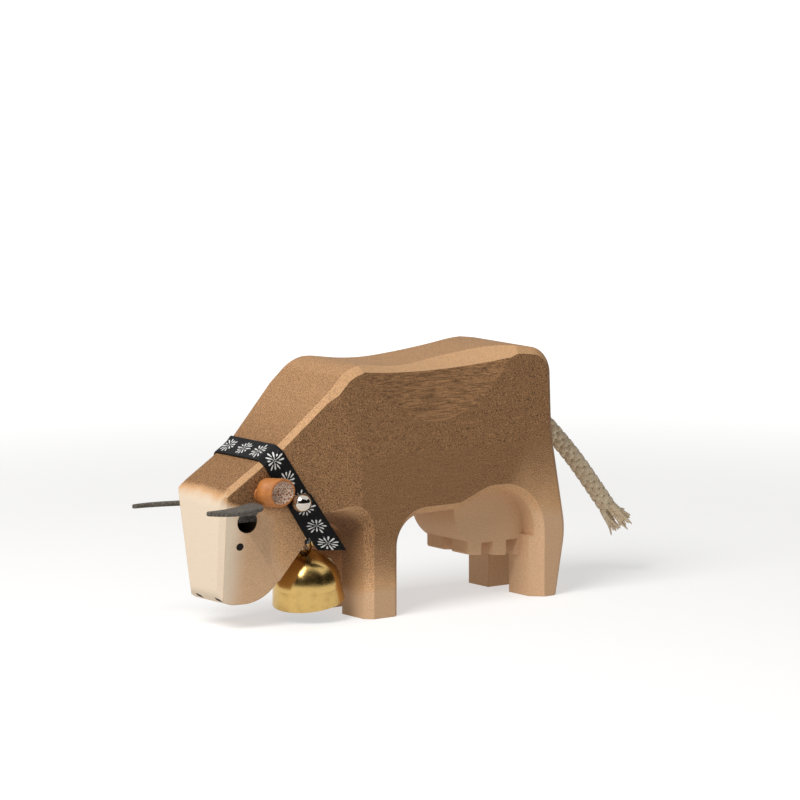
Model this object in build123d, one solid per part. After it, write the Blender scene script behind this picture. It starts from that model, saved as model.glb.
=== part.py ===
from build123d import *
import math
import os

"""Carved wooden cow with leather horns and ears, a ribbon collar, a brass bell and a cord tail.

Millimetres, +Z up. The feet stand on Z = 0, the head points to -X and the cow's left side is -Y.
The origin is on the ground under the middle of the length from the horn tips to the hocks.
"""

# Side outline of the wooden board. Each corner is rounded over a share of its shorter side
FOREHEAD_X = -51.4
POLL_HEIGHT = 37.4
POLL_SHARE = 0.18
NAPE_BACK = 16.9
NAPE_RISE = 10.3
NAPE_SHARE = 0.12
WITHERS_X = -10.6
BACK_HEIGHT = 69.4
WITHERS_SHARE = 0.317
DIP_X = 7.0
DIP_DROP = 2.5
DIP_SHARE = 0.413
HIP_AHEAD = 15.3
HIP_RISE = 1.1
HIP_SHARE = 0.4
HIND_HEEL_X = 58.4
HIND_FOOT = 7.5
RUMP_IN = 1.1
RUMP_DROP = 1.1
RUMP_SHARE = 0.43
WAIST_IN = 1.7
WAIST_HEIGHT = 45.0
WAIST_SHARE = 0.177
HOCK_OUT = 3.2
HOCK_HEIGHT = 18.0
HOCK_SHARE = 0.216
HIND_LEDGE = 1.1
HIND_LEDGE_HEIGHT = 17.0
FORE_TOE_X = -7.6
FORE_FOOT = 11.0
FORE_SHARE = 0.35
BELLY_HEIGHT = 27.0
BELLY_SHARE = 0.413
ARCH_RISE = 3.8
ARCH_LENGTH = 16.9
ARCH_RAMP = 10.0
ARCH_SHARE = 0.75
RAMP_SHARE = 0.137
THROAT_HEIGHT = 30.2
JAW_BACK = 25.2
JAW_DROP = 8.2
JAW_SHARE = 0.9153
CHIN_BACK = 11.9
CHIN_HEIGHT = 6.9
CHIN_SHARE = 0.43
MUZZLE_BACK = 1.5
MUZZLE_SHARE = 0.36

# Widths of the board and how it narrows towards the head
BODY_WIDTH = 33.2
HEAD_WIDTH = 22.4
SHOULDER_X = -9.5
CHEEK_BACK = 15.4
FLANK_LEAN = 4.5
BELT_RISE = 6.5
MUZZLE_WIDTH = 13.8
CHEEK_FACET_DROP = 4.4
CHEEK_FACET_RISE = 7.1
CHEEK_FACET_FRONT = 3.9
CHEEK_FACET_REAR = 16.9

# Bevels along the edges
EDGE_BEVEL = 2.0
NECK_BEVEL = 1.6
FACE_BEVEL = 1.3
SOLE_BEVEL = 0.7

# Hollow on each flank: a shallow cylinder cut that leans outwards as it goes down
SCOOP_X = 17.0
SCOOP_DROP = 14.9
SCOOP_RADIUS = 110.0
SCOOP_LEAN = 16.0
SCOOP_BEVEL_LEAN = 52.0
SCOOP_BEVEL_DROP = 1.5

# Gap between left and right legs, udder and teats
LEG_GAP = 9.4
LEG_GAP_HEIGHT = 24.0
UDDER_WIDTH = 19.0
UDDER_LENGTH = 19.1
UDDER_BULGE = 3.8
UDDER_BULGE_DROP = 6.4
UDDER_NECK = 5.0
UDDER_HEIGHT = 12.8
UDDER_SLOPE = 6.0
UDDER_ROUND = 0.7
TEAT_LENGTH = 4.6
TEAT_GAP = 4.0
TEAT_DEPTH = 3.6

# Horns: leather crescents with a rolled root in a drilled hole
HORN_BACK = 7.9
HORN_DOWN = 7.8
HORN_HOLE = 6.0
HORN_HOLE_DEPTH = 7.5
HORN_FIT = 0.06
HORN_LEATHER = 1.4
HORN_REACH = 17.4
HORN_SPREAD = 6.4
HORN_BASE = 7.0
HORN_BUTT = 2.4
HORN_INNER_BOW = 1.2
HORN_OUTER_BOW = 2.2
HORN_POINT = 1.6
HORN_DROOP = 7.0
HORN_PITCH = 3.0
LEFT_HORN_LIFT = 4.7
RIGHT_HORN_LIFT = 2.3
HORN_STANDOFF = 0.15

# Ears: leather cups with a root in a drilled hole
EAR_BACK = 12.1
EAR_DOWN = 0.8
EAR_HOLE = 4.4
EAR_HOLE_DEPTH = 6.5
EAR_FIT = 0.06
EAR_LENGTH = 7.2
EAR_MOUTH = 8.0
EAR_TAPER = 0.7
EAR_LEATHER = 1.2
EAR_STANDOFF = 1.4
EAR_CLEARANCE = 0.5
EAR_BACK_SWEEP = 47.0
EAR_RISE = 4.0
EAR_CUT = 38.0
EAR_CUT_AT = 4.4

# Collar ribbon: a band round the neck, a gathered run under the throat and one free end
RIBBON_WIDTH = 6.6
RIBBON_THICK = 0.45
RIBBON_GAP = 0.3
RIBBON_AHEAD = 1.5
THROAT_TURN = 140.5
RIBBON_SAG = 5.6
RIBBON_SAG_LEAN = 22.0
GATHER_WIDTH = 1.6
GATHER_THICK = 0.9
GATHER_LENGTH = 4.6
FLAP_DOWN = 14.8
FLAP_ASIDE = 3.65
FLAP_LEAN = 32.5
FLAP_LENGTH = 19.0
FLAP_CUT = 4.8

# Ball-headed nail through both ribbon ends
STUD_DOWN = 14.3
STUD_ASIDE = -0.9
STUD_BALL = 5.2
STUD_SHANK = 1.4
STUD_LENGTH = 9.0
STUD_FIT = 0.05

# Bell, its strap loop and its clapper
BELL_Y = -6.2
BELL_MOUTH = 19.6
BELL_HEIGHT = 14.6
BELL_WALL = 0.7
BELL_BAND = 4.8
BELL_BAND_DRAFT = 0.5
BELL_SHOULDER = 0.7
BELL_LEAN = 9.5
BELL_TILT = 4.0
BELL_DROP = 2.3
LOOP_WIDTH = 2.4
LOOP_THICK = 0.6
LOOP_BASE = 4.6
LOOP_HEIGHT = 4.2
LOOP_TOP = 3.4
STAPLE_WIRE = 0.7
STAPLE_RADIUS = 1.0
STAPLE_DROP = 2.7
STAPLE_FIT = 0.05
STAPLE_STUB = 0.4
CLAPPER_WIRE = 0.7
CLAPPER_EYE = 1.0
CLAPPER_LENGTH = 8.4
CLAPPER_BALL = 4.0
CLAPPER_BORE_DEPTH = 2.6
CLAPPER_FIT = 0.02

# Tail cord: its route by hand, as steps back and up from the hole in the rump to the frayed end
TAIL_DIAMETER = 5.2
TAIL_FIT = 0.08
TAIL_ROOT_DEPTH = 10.0
TAIL_ROOT_OUT = 0.35
TAIL_DROP = 14.6
TAIL_PIVOT_OUT = 3.4
TAIL_STEPS = [(6.7, -6.2), (13.1, -12.4), (19.5, -19.1), (25.5, -26.4), (31.3, -33.7)]
BEND_SHARE = 0.45
TASSEL_LENGTH = 9.5
TASSEL_SPREAD = 9.6

MARGIN = 5.0

# Stations and heights that follow from the sizes above
HALF_BODY = BODY_WIDTH / 2
HALF_HEAD = HEAD_WIDTH / 2
NAPE_X = FOREHEAD_X + NAPE_BACK
NAPE_HEIGHT = POLL_HEIGHT + NAPE_RISE
CHEEK_X = FOREHEAD_X + CHEEK_BACK
JAW_X = FOREHEAD_X + JAW_BACK
JAW_HEIGHT = THROAT_HEIGHT - JAW_DROP
MUZZLE_X = FOREHEAD_X + MUZZLE_BACK
CHIN_X = MUZZLE_X + CHIN_BACK
DIP_HEIGHT = BACK_HEIGHT - DIP_DROP
HIP_HEIGHT = BACK_HEIGHT + HIP_RISE
RUMP_X = HIND_HEEL_X - RUMP_IN
RUMP_HEIGHT = BACK_HEIGHT - RUMP_DROP
HIP_X = RUMP_X - HIP_AHEAD
WAIST_X = HIND_HEEL_X - WAIST_IN
HOCK_X = HIND_HEEL_X + HOCK_OUT
HIND_TOE_X = HIND_HEEL_X - HIND_FOOT
FORE_HEEL_X = FORE_TOE_X + FORE_FOOT
ARCH_HEIGHT = BELLY_HEIGHT + ARCH_RISE
ARCH_START_X = HIND_TOE_X - ARCH_LENGTH
ARCH_END_X = ARCH_START_X - ARCH_RAMP
THROAT_ROUND = JAW_SHARE * min(FORE_TOE_X - JAW_X, JAW_DROP)
FLANK_BELT = POLL_HEIGHT + BELT_RISE
SCOOP_LOW = DIP_HEIGHT - SCOOP_DROP
UDDER_FRONT_X = HIND_TOE_X - UDDER_LENGTH
UDDER_TOP_X = UDDER_FRONT_X - UDDER_NECK
HORN_X = FOREHEAD_X + HORN_BACK
HORN_Z = POLL_HEIGHT - HORN_DOWN
HORN_TIP_X = HORN_X - HORN_REACH
EAR_X = FOREHEAD_X + EAR_BACK
EAR_Z = POLL_HEIGHT - EAR_DOWN
RIBBON_TOP_X = NAPE_X - RIBBON_AHEAD


def half_width(x):
    """Half the board's width at station x, narrowing in a straight line from shoulder to cheek."""
    share = (SHOULDER_X - x) / (SHOULDER_X - CHEEK_X)
    share = min(max(share, 0.0), 1.0)
    return HALF_BODY + share * (HALF_HEAD - HALF_BODY)


def both_sides(shape):
    """A shape on the left side together with its mirror image on the right."""
    return [shape, mirror(shape, about=Plane.XZ)]


def corner_round(run, following, share):
    """Radius that rounds the corner between two runs over a share of the shorter one."""
    half_turn = math.radians(run.get_angle(following)) / 2
    return share * min(run.length, following.length) / math.tan(half_turn)


def side_outline():
    """The sawn outline of the cow in the XZ plane."""
    corners = [
        (FOREHEAD_X, POLL_HEIGHT, POLL_SHARE),
        (NAPE_X, NAPE_HEIGHT, NAPE_SHARE),
        (WITHERS_X, BACK_HEIGHT, WITHERS_SHARE),
        (DIP_X, DIP_HEIGHT, DIP_SHARE),
        (HIP_X, HIP_HEIGHT, HIP_SHARE),
        (RUMP_X, RUMP_HEIGHT, RUMP_SHARE),
        (WAIST_X, WAIST_HEIGHT, WAIST_SHARE),
        (HOCK_X, HOCK_HEIGHT, HOCK_SHARE),
        (HIND_HEEL_X, 0, 0),
        (HIND_TOE_X, 0, 0),
        (HIND_TOE_X, ARCH_HEIGHT, ARCH_SHARE),
        (ARCH_START_X, ARCH_HEIGHT, RAMP_SHARE),
        (ARCH_END_X, BELLY_HEIGHT, RAMP_SHARE),
        (FORE_HEEL_X, BELLY_HEIGHT, BELLY_SHARE),
        (FORE_HEEL_X, 0, 0),
        (FORE_TOE_X, 0, 0),
        (FORE_TOE_X, THROAT_HEIGHT, FORE_SHARE),
        (JAW_X, THROAT_HEIGHT, JAW_SHARE),
        (JAW_X, JAW_HEIGHT, 0),
        (CHIN_X, CHIN_HEIGHT, CHIN_SHARE),
        (MUZZLE_X, CHIN_HEIGHT, MUZZLE_SHARE),
    ]
    points = [Vector(x, z) for x, z, share in corners]
    befores = points[-1:] + points[:-1]
    afters = points[1:] + points[:1]
    radii = []
    for before, point, after, (x, z, share) in zip(befores, points, afters, corners):
        radii.append(corner_round(point - before, after - point, share))
    return make_face(FilletPolyline(*points, radius=radii, close=True))


def flank_cut():
    """What is planed off the left side so that the flank leans inwards above its belt line."""
    start = Vector(FOREHEAD_X - MARGIN, -HALF_BODY, FLANK_BELT)
    end = Vector(HOCK_X + MARGIN, -HALF_BODY, FLANK_BELT)
    lean = Vector(0, math.tan(math.radians(FLANK_LEAN)), 1)
    return plane_cut(start, end, start + lean, (end - start).length, HIP_HEIGHT)


def bevelled_board():
    """The sawn board with its outline bevelled on both sides, down to the soles."""
    board = extrude(Plane.XZ * side_outline(), amount=HALF_BODY, both=True)
    board -= both_sides(flank_cut())
    sides = [face for face in board.faces() if abs(face.normal_at().Y) > 0.5]
    rim = [edge for side in sides for edge in side.edges() if edge.center().Z > SOLE_BEVEL]
    rim = [edge for edge in rim if rim.count(edge) == 1]
    return chamfer(rim, EDGE_BEVEL)


def taper_cut():
    """What is sawn off the left side so that the neck narrows to the head."""
    front = FOREHEAD_X - MARGIN
    outer = -HALF_BODY - MARGIN
    plan = Polyline(
        (SHOULDER_X, -HALF_BODY),
        (CHEEK_X, -HALF_HEAD),
        (front, -HALF_HEAD),
        (front, outer),
        (SHOULDER_X, outer),
        close=True,
    )
    return extrude(make_face(plan), amount=HIP_HEIGHT + MARGIN)


def plane_cut(start, end, inner, length, width, before=0.0):
    """A block whose flat underside holds the line start-end and the point inner, facing the left side."""
    along = end - start
    normal = along.cross(inner - start)
    if normal.Y > 0:
        normal = normal * -1
    flat = Plane(origin=start, x_dir=along, z_dir=normal)
    reach = math.copysign(width, flat.to_local_coords(inner).Y)
    patch = Pos((length - before) / 2, reach / 2) * Rectangle(length + before, width)
    return extrude(flat * patch, amount=width, dir=flat.z_dir)


def muzzle_cut():
    """The flat facet that narrows the muzzle from the cheek forwards."""
    top = Vector(FOREHEAD_X + CHEEK_FACET_FRONT, -HALF_HEAD, POLL_HEIGHT - CHEEK_FACET_DROP)
    low = Vector(FOREHEAD_X + CHEEK_FACET_REAR, -HALF_HEAD, CHIN_HEIGHT + CHEEK_FACET_RISE)
    nose = Vector(MUZZLE_X, -MUZZLE_WIDTH / 2, CHIN_HEIGHT)
    length = (low - top).length
    return plane_cut(top, low, nose, length + HEAD_WIDTH, HEAD_WIDTH, before=HEAD_WIDTH)


def neck_bevel_cut(front_x, front_z, rear_x, rear_z, before, after):
    """A flat bevel along one straight stretch of the neck's upper left edge."""
    front = Vector(front_x, -half_width(front_x), front_z - NECK_BEVEL)
    rear = Vector(rear_x, -half_width(rear_x), rear_z - NECK_BEVEL)
    inner = front + Vector(0, NECK_BEVEL, NECK_BEVEL)
    block = plane_cut(front, rear, inner, (rear - front).length + after, HEAD_WIDTH, before=before)
    low = front - Vector(0, NECK_BEVEL, NECK_BEVEL)
    outer = plane_cut(front, rear, low, (rear - front).length + after, NECK_BEVEL, before=before)
    return block + outer


def face_bevel_cut():
    """A narrow flat bevel between the forehead and the left side of the head."""
    slope = (MUZZLE_X - FOREHEAD_X) / (POLL_HEIGHT - CHIN_HEIGHT)
    top = Vector(FOREHEAD_X + FACE_BEVEL, -HALF_HEAD, POLL_HEIGHT)
    low_x = FOREHEAD_X + slope * (POLL_HEIGHT - CHIN_HEIGHT) + FACE_BEVEL
    low = Vector(low_x, -MUZZLE_WIDTH / 2, CHIN_HEIGHT)
    inner = top + Vector(-FACE_BEVEL, FACE_BEVEL, 0)
    return plane_cut(top, low, inner, (low - top).length + MARGIN, HEAD_WIDTH, before=MARGIN)


def scoop_drum(depth, height, lean):
    """A wide cylinder leaning by the given angle, its wall at a depth behind the left side and a height."""
    foot = Plane(origin=(SCOOP_X, -HALF_BODY + depth, height), x_dir=(1, 0, 0), z_dir=(0, 0, 1))
    leaning = foot.rotated((-lean, 0, 0))
    return extrude(leaning * Pos(0, -SCOOP_RADIUS) * Circle(SCOOP_RADIUS), amount=HIP_HEIGHT, both=True)


def scoop_cut():
    """The hollow on the left flank, and the bevel between it and the back."""
    flank = max(SCOOP_LOW - FLANK_BELT, 0.0) * math.tan(math.radians(FLANK_LEAN))
    hollow = scoop_drum(flank, SCOOP_LOW, SCOOP_LEAN)
    bevel_height = DIP_HEIGHT - SCOOP_BEVEL_DROP
    bevel_depth = flank + (bevel_height - SCOOP_LOW) * math.tan(math.radians(SCOOP_LEAN))
    return hollow + scoop_drum(bevel_depth, bevel_height, SCOOP_BEVEL_LEAN)


def leg_gap():
    """The slot with a round roof between the left and right legs."""
    half = LEG_GAP / 2
    start = JAW_X + MARGIN
    opening = Pos(0, -MARGIN) * Rectangle(LEG_GAP, 2 * (LEG_GAP_HEIGHT - half + MARGIN))
    opening += Pos(0, LEG_GAP_HEIGHT - half) * Circle(half)
    slot_plane = Plane(origin=(start, 0, 0), x_dir=(0, 1, 0), z_dir=(1, 0, 0))
    return extrude(slot_plane * opening, amount=HOCK_X + MARGIN - start)


def hind_ledge():
    """The pad that makes the left hind foot longer than the leg above it, with the leg's own bevel."""
    inner = -LEG_GAP / 2
    outer = -HALF_BODY + EDGE_BEVEL
    toe = HIND_TOE_X - HIND_LEDGE
    plan = [(HIND_TOE_X, inner), (toe, inner), (toe, outer + HIND_LEDGE), (HIND_TOE_X, outer)]
    return extrude(make_face(Polyline(*plan, close=True)), amount=HIND_LEDGE_HEIGHT)


def udder():
    """The udder between the hind legs, sawn across and along into four square teats."""
    root = HIND_TOE_X + UDDER_ROUND
    low = UDDER_HEIGHT - (root - UDDER_FRONT_X) * math.tan(math.radians(UDDER_SLOPE))
    deep = UDDER_HEIGHT + TEAT_DEPTH
    top = (UDDER_TOP_X, BELLY_HEIGHT)
    shoulder = (UDDER_FRONT_X, deep)
    bulge = (UDDER_FRONT_X - UDDER_BULGE, BELLY_HEIGHT - UDDER_BULGE_DROP)
    front = ThreePointArc(top, bulge, shoulder)
    high = ARCH_HEIGHT + UDDER_ROUND
    rest = [shoulder, (UDDER_FRONT_X, UDDER_HEIGHT), (root, low), (root, high), (UDDER_TOP_X, high), top]
    profile = make_face([front, *Polyline(*rest).edges()])
    bag = extrude(Plane.XZ * profile, amount=UDDER_WIDTH / 2, both=True)
    edges = [edge for edge in bag.edges() if edge.center().Z < deep - UDDER_ROUND]
    edges = [edge for edge in edges if edge.center().X < HIND_TOE_X]
    bag = fillet(edges, UDDER_ROUND)
    bag -= Pos((UDDER_FRONT_X + root) / 2, 0, deep / 2) * Box(root, TEAT_GAP, deep)
    slot = Box(TEAT_GAP, UDDER_WIDTH + MARGIN, deep - UDDER_ROUND)
    first = UDDER_FRONT_X + TEAT_LENGTH + TEAT_GAP / 2
    for x in (first, first + TEAT_LENGTH + TEAT_GAP):
        bag -= Pos(x, 0, (deep - UDDER_ROUND) / 2) * slot
    return bag


def side_hole(x, z, diameter, depth):
    """A hole drilled square into the left side at station x and height z."""
    entry = Plane(origin=(x, -half_width(x) - MARGIN, z), x_dir=(1, 0, 0), z_dir=(0, 1, 0))
    return extrude(entry * Circle(diameter / 2), amount=depth + MARGIN)


def rump_x(z):
    """Station of the rump's outline at a height, taken as straight lines from rump to waist to hock."""
    if z > WAIST_HEIGHT:
        return WAIST_X + (z - WAIST_HEIGHT) * (RUMP_X - WAIST_X) / (RUMP_HEIGHT - WAIST_HEIGHT)
    return HOCK_X + (z - HOCK_HEIGHT) * (WAIST_X - HOCK_X) / (WAIST_HEIGHT - HOCK_HEIGHT)


def tail_exit():
    """Middle of the tail's hole in the rump."""
    height = RUMP_HEIGHT - TAIL_DROP
    return Vector(rump_x(height), 0, height)


def tail_route():
    """The points that the tail runs through after its exit."""
    return [tail_exit() + Vector(back, 0, up) for back, up in TAIL_STEPS]


def tail_direction():
    """Unit vector along the first stretch of the tail."""
    return (tail_route()[0] - tail_exit()).normalized()


def tail_plane(distance):
    """Plane square to the tail's first stretch, at a distance out from its exit."""
    out = tail_direction()
    return Plane(origin=tail_exit() + out * distance, x_dir=(0, 1, 0), z_dir=out)


def wooden_body():
    """The carved wooden cow without its fittings."""
    body = bevelled_board()
    body -= both_sides(taper_cut())
    body -= both_sides(muzzle_cut())
    body -= both_sides(face_bevel_cut())
    body -= both_sides(neck_bevel_cut(FOREHEAD_X, POLL_HEIGHT, NAPE_X, NAPE_HEIGHT, MARGIN, 0.0))
    body -= both_sides(neck_bevel_cut(NAPE_X, NAPE_HEIGHT, WITHERS_X, BACK_HEIGHT, 0.0, MARGIN))
    body -= both_sides(scoop_cut())
    body -= leg_gap()
    body += both_sides(hind_ledge())
    body += udder()
    body -= both_sides(side_hole(HORN_X, HORN_Z, HORN_HOLE, HORN_HOLE_DEPTH))
    body -= both_sides(side_hole(EAR_X, EAR_Z, EAR_HOLE, EAR_HOLE_DEPTH))
    body -= stud_hole()
    tail_hole = Circle(TAIL_DIAMETER / 2 + TAIL_FIT)
    body -= extrude(tail_plane(-TAIL_ROOT_DEPTH) * tail_hole, amount=TAIL_ROOT_DEPTH + MARGIN)
    return body


def horn(lift):
    """A left horn: a flat leather crescent, bent up by a lift from its rolled root."""
    base_y = -HALF_HEAD - HORN_STANDOFF
    butt = (HORN_X + HORN_BUTT, base_y - HORN_BASE / 2)
    inner = (HORN_X, base_y)
    outer = (HORN_X - HORN_BUTT, base_y - HORN_BASE)
    tip_inner = (HORN_TIP_X + HORN_POINT / 2, base_y - HORN_SPREAD + HORN_POINT)
    tip = (HORN_TIP_X, base_y - HORN_SPREAD + HORN_POINT / 2)
    tip_outer = (HORN_TIP_X + HORN_POINT / 2, base_y - HORN_SPREAD)
    inner_mid = ((inner[0] + tip[0]) / 2, (inner[1] + tip_inner[1]) / 2 - HORN_INNER_BOW)
    outer_mid = ((outer[0] + tip[0]) / 2, (outer[1] + tip_outer[1]) / 2 - HORN_OUTER_BOW)
    rim = [
        ThreePointArc(inner, inner_mid, tip_inner),
        ThreePointArc(tip_inner, tip, tip_outer),
        ThreePointArc(tip_outer, outer_mid, outer),
        ThreePointArc(outer, butt, inner),
    ]
    plate = extrude(make_face(rim), amount=HORN_LEATHER / 2, both=True)
    hinge = Pos(HORN_X, base_y, 0)
    plate = hinge * Rot(HORN_DROOP, HORN_PITCH, 0) * hinge.inverse() * plate
    plate = Pos(0, 0, HORN_Z + lift) * plate
    web_y = base_y - HORN_LEATHER / 2
    web = Pos(HORN_X, web_y, HORN_Z + lift / 2) * Box(HORN_HOLE - HORN_LEATHER, HORN_LEATHER, lift)
    radius = HORN_HOLE / 2 - HORN_FIT
    roll = Circle(radius) - Circle(radius - HORN_LEATHER)
    roll -= Pos(0, radius) * Rectangle(HORN_HOLE, HORN_HOLE)
    deep = HORN_HOLE_DEPTH - HORN_FIT
    end = Plane(origin=(HORN_X, -HALF_HEAD + deep, HORN_Z), x_dir=(1, 0, 0), z_dir=(0, -1, 0))
    root = extrude(end * Rot(0, 0, 180) * roll, amount=deep + HORN_STANDOFF + HORN_LEATHER)
    return plate + root + (web - Pos(HORN_X, web_y, HORN_Z) * Rot(90, 0, 0) * Cylinder(radius, HORN_LEATHER))


def neck_block(clearance):
    """Everything within a clearance of the head's and neck's sides, as a block."""
    front = FOREHEAD_X - MARGIN
    stations = [front, CHEEK_X, SHOULDER_X]
    row = [(x, half_width(x) + clearance) for x in stations]
    row += [(x, -y) for x, y in reversed(row)]
    return extrude(make_face(Polyline(*row, close=True)), amount=HIP_HEIGHT)


def ear_frame():
    """Plane at the foot of the left ear's cup, facing along the cup."""
    sweep = math.radians(EAR_BACK_SWEEP)
    rise = math.radians(EAR_RISE)
    along = Vector(math.sin(sweep) * math.cos(rise), -math.cos(sweep) * math.cos(rise), math.sin(rise))
    return Plane(origin=(EAR_X, -HALF_HEAD - EAR_STANDOFF, EAR_Z), x_dir=(0, 0, 1), z_dir=along)


def ear():
    """The left ear: a leather cup with a slanted mouth on a round root."""
    foot = EAR_HOLE / 2 - EAR_FIT
    rim = EAR_MOUTH / 2
    belly = (rim - EAR_TAPER, EAR_LENGTH / 3)
    inner_rim = (rim - EAR_LEATHER, EAR_LENGTH)
    inner_belly = (belly[0] - EAR_LEATHER, belly[1] + EAR_LEATHER / 2)
    floor = (0, EAR_LEATHER)
    outline = [(0, 0), (foot, 0), belly, (rim, EAR_LENGTH), inner_rim, inner_belly, floor]
    section = make_face(Polyline(*outline, close=True))
    cup = revolve(Plane.XZ * section, axis=Axis.Z)
    mouth = Plane(origin=(0, 0, EAR_CUT_AT), x_dir=(1, 0, 0), z_dir=(0, 0, 1)).rotated((-EAR_CUT, 0, 0))
    cup -= extrude(mouth * Rectangle(4 * EAR_MOUTH, 4 * EAR_MOUTH), amount=2 * EAR_LENGTH)
    cup = ear_frame() * cup
    depth = EAR_HOLE_DEPTH - EAR_FIT
    length = depth + EAR_STANDOFF
    slant = foot * math.sin(math.pi / 4)
    tip = ThreePointArc((foot, length), (slant, length + slant), (0, length + foot))
    sides = Polyline((0, length + foot), (0, 0), (foot, 0), (foot, length))
    peg = revolve(Plane.XZ * make_face([tip, *sides.edges()]), axis=Axis.Z)
    bottom = Plane(origin=(EAR_X, -HALF_HEAD + depth, EAR_Z), x_dir=(1, 0, 0), z_dir=(0, -1, 0))
    return cup - neck_block(RIBBON_GAP + RIBBON_THICK + EAR_CLEARANCE) + bottom * peg


def neck_slope(x):
    """Rise per length of the neck's upper outline, taken as two straight lines meeting at the nape."""
    if x < NAPE_X:
        return (NAPE_HEIGHT - POLL_HEIGHT) / (NAPE_X - FOREHEAD_X)
    return (BACK_HEIGHT - NAPE_HEIGHT) / (WITHERS_X - NAPE_X)


def neck_top(x):
    """Point of the neck's upper outline at station x."""
    return Vector(x, 0, NAPE_HEIGHT + (x - NAPE_X) * neck_slope(x))


def throat_centre():
    """Centre of the hollow between jaw and throat."""
    return Vector(JAW_X + THROAT_ROUND, 0, THROAT_HEIGHT - THROAT_ROUND)


def ribbon_down():
    """Unit vector down the ribbon's side run, from the neck's top to its place in the throat's hollow."""
    turn = math.radians(THROAT_TURN)
    low = throat_centre() + Vector(math.cos(turn), 0, math.sin(turn)) * THROAT_ROUND
    return (low - neck_top(RIBBON_TOP_X)).normalized()


def ribbon_across():
    """Unit vector across the ribbon's side run, towards the rear."""
    down = ribbon_down()
    return Vector(-down.Z, 0, down.X)


def ribbon_top(offset):
    """Point of the neck's top under the ribbon's edge at this offset."""
    across = ribbon_across()
    past = offset - across.dot(neck_top(NAPE_X) - neck_top(RIBBON_TOP_X))
    rise = neck_slope(NAPE_X + past)
    return neck_top(NAPE_X + past / (across.X + across.Z * rise))


def ribbon_point(down, aside):
    """Point of the left side plane at distances down and across from the ribbon's middle on top."""
    return neck_top(RIBBON_TOP_X) + ribbon_down() * down + ribbon_across() * aside


def throat_point(offset):
    """Where the ribbon's edge at this offset leaves the neck side for the run under the throat."""
    top = ribbon_top(offset)
    down = ribbon_down()
    centre = throat_centre()
    along = (centre - top).dot(down)
    aside = (centre - top - down * along).length
    return top + down * (along - math.sqrt(THROAT_ROUND**2 - aside**2))


def throat_normal():
    """Unit vector in the side plane that points out of the throat, square to the ribbon there."""
    chord = throat_point(RIBBON_WIDTH / 2) - throat_point(-RIBBON_WIDTH / 2)
    return Vector(chord.Z, 0, -chord.X).normalized()


def shifted(points, distance):
    """An open row of (y, up) points moved outwards by a distance, its corners mitred."""
    lines = []
    for first, second in zip(points, points[1:]):
        along = (Vector(*second) - Vector(*first)).normalized()
        normal = Vector(along.Y, -along.X)
        lines.append((Vector(*first) + normal * distance, along, Vector(*second) + normal * distance))
    moved = [lines[0][0]]
    for (start, along, end), (other, other_along, other_end) in zip(lines, lines[1:]):
        turn = along.X * other_along.Y - along.Y * other_along.X
        gap = other - start
        moved.append(start + along * ((gap.X * other_along.Y - gap.Y * other_along.X) / turn))
    moved.append(lines[-1][2])
    return moved


def band_face(offset):
    """Section of the ribbon band in one of its edge planes, open under the throat."""
    top = ribbon_top(offset)
    low = throat_point(offset) + throat_normal() * (RIBBON_GAP + RIBBON_THICK)
    drop = (top - low).length
    down = ribbon_down()
    bevel_drop = NECK_BEVEL / (down.X * neck_slope(top.X) - down.Z)
    half_top = half_width(top.X)
    half_low = half_width(low.X)
    row = [(half_low, -drop), (half_top, -bevel_drop), (half_top - NECK_BEVEL, 0)]
    row += [(-y, up) for y, up in reversed(row)]
    inner = shifted(row, RIBBON_GAP)
    outer = shifted(row, RIBBON_GAP + RIBBON_THICK)
    plane = Plane(origin=top, x_dir=(0, 1, 0), z_dir=ribbon_across())
    outline = [(point.X, point.Y) for point in inner + outer[::-1]]
    return plane * make_face(Polyline(*outline, close=True))


def bell_pivot():
    """Middle of the gathered ribbon, on which the bell hangs."""
    middle = (throat_point(RIBBON_WIDTH / 2) + throat_point(-RIBBON_WIDTH / 2)) / 2
    sag = math.radians(RIBBON_SAG_LEAN)
    return middle + Vector(math.sin(sag) * RIBBON_SAG, BELL_Y, -math.cos(sag) * RIBBON_SAG)


def throat_end(side):
    """End face of the lower run, at the side of the neck given by its sign."""
    corners = []
    for offset, layer in ((-1, 0), (1, 0), (1, 1), (-1, 1)):
        point = throat_point(offset * RIBBON_WIDTH / 2)
        out = side * (half_width(point.X) + RIBBON_GAP + RIBBON_THICK)
        corners.append(point + throat_normal() * (RIBBON_GAP + layer * RIBBON_THICK) + Vector(0, out, 0))
    return make_face(Polyline(*corners, close=True))


def gather_face(y):
    """Section of the gathered ribbon at station y."""
    pivot = bell_pivot()
    corners = []
    for across, up in ((-1, 1), (1, 1), (1, -1), (-1, -1)):
        corners.append(Vector(pivot.X + across * GATHER_WIDTH / 2, y, pivot.Z + up * GATHER_THICK / 2))
    return make_face(Polyline(*corners, close=True))


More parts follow.
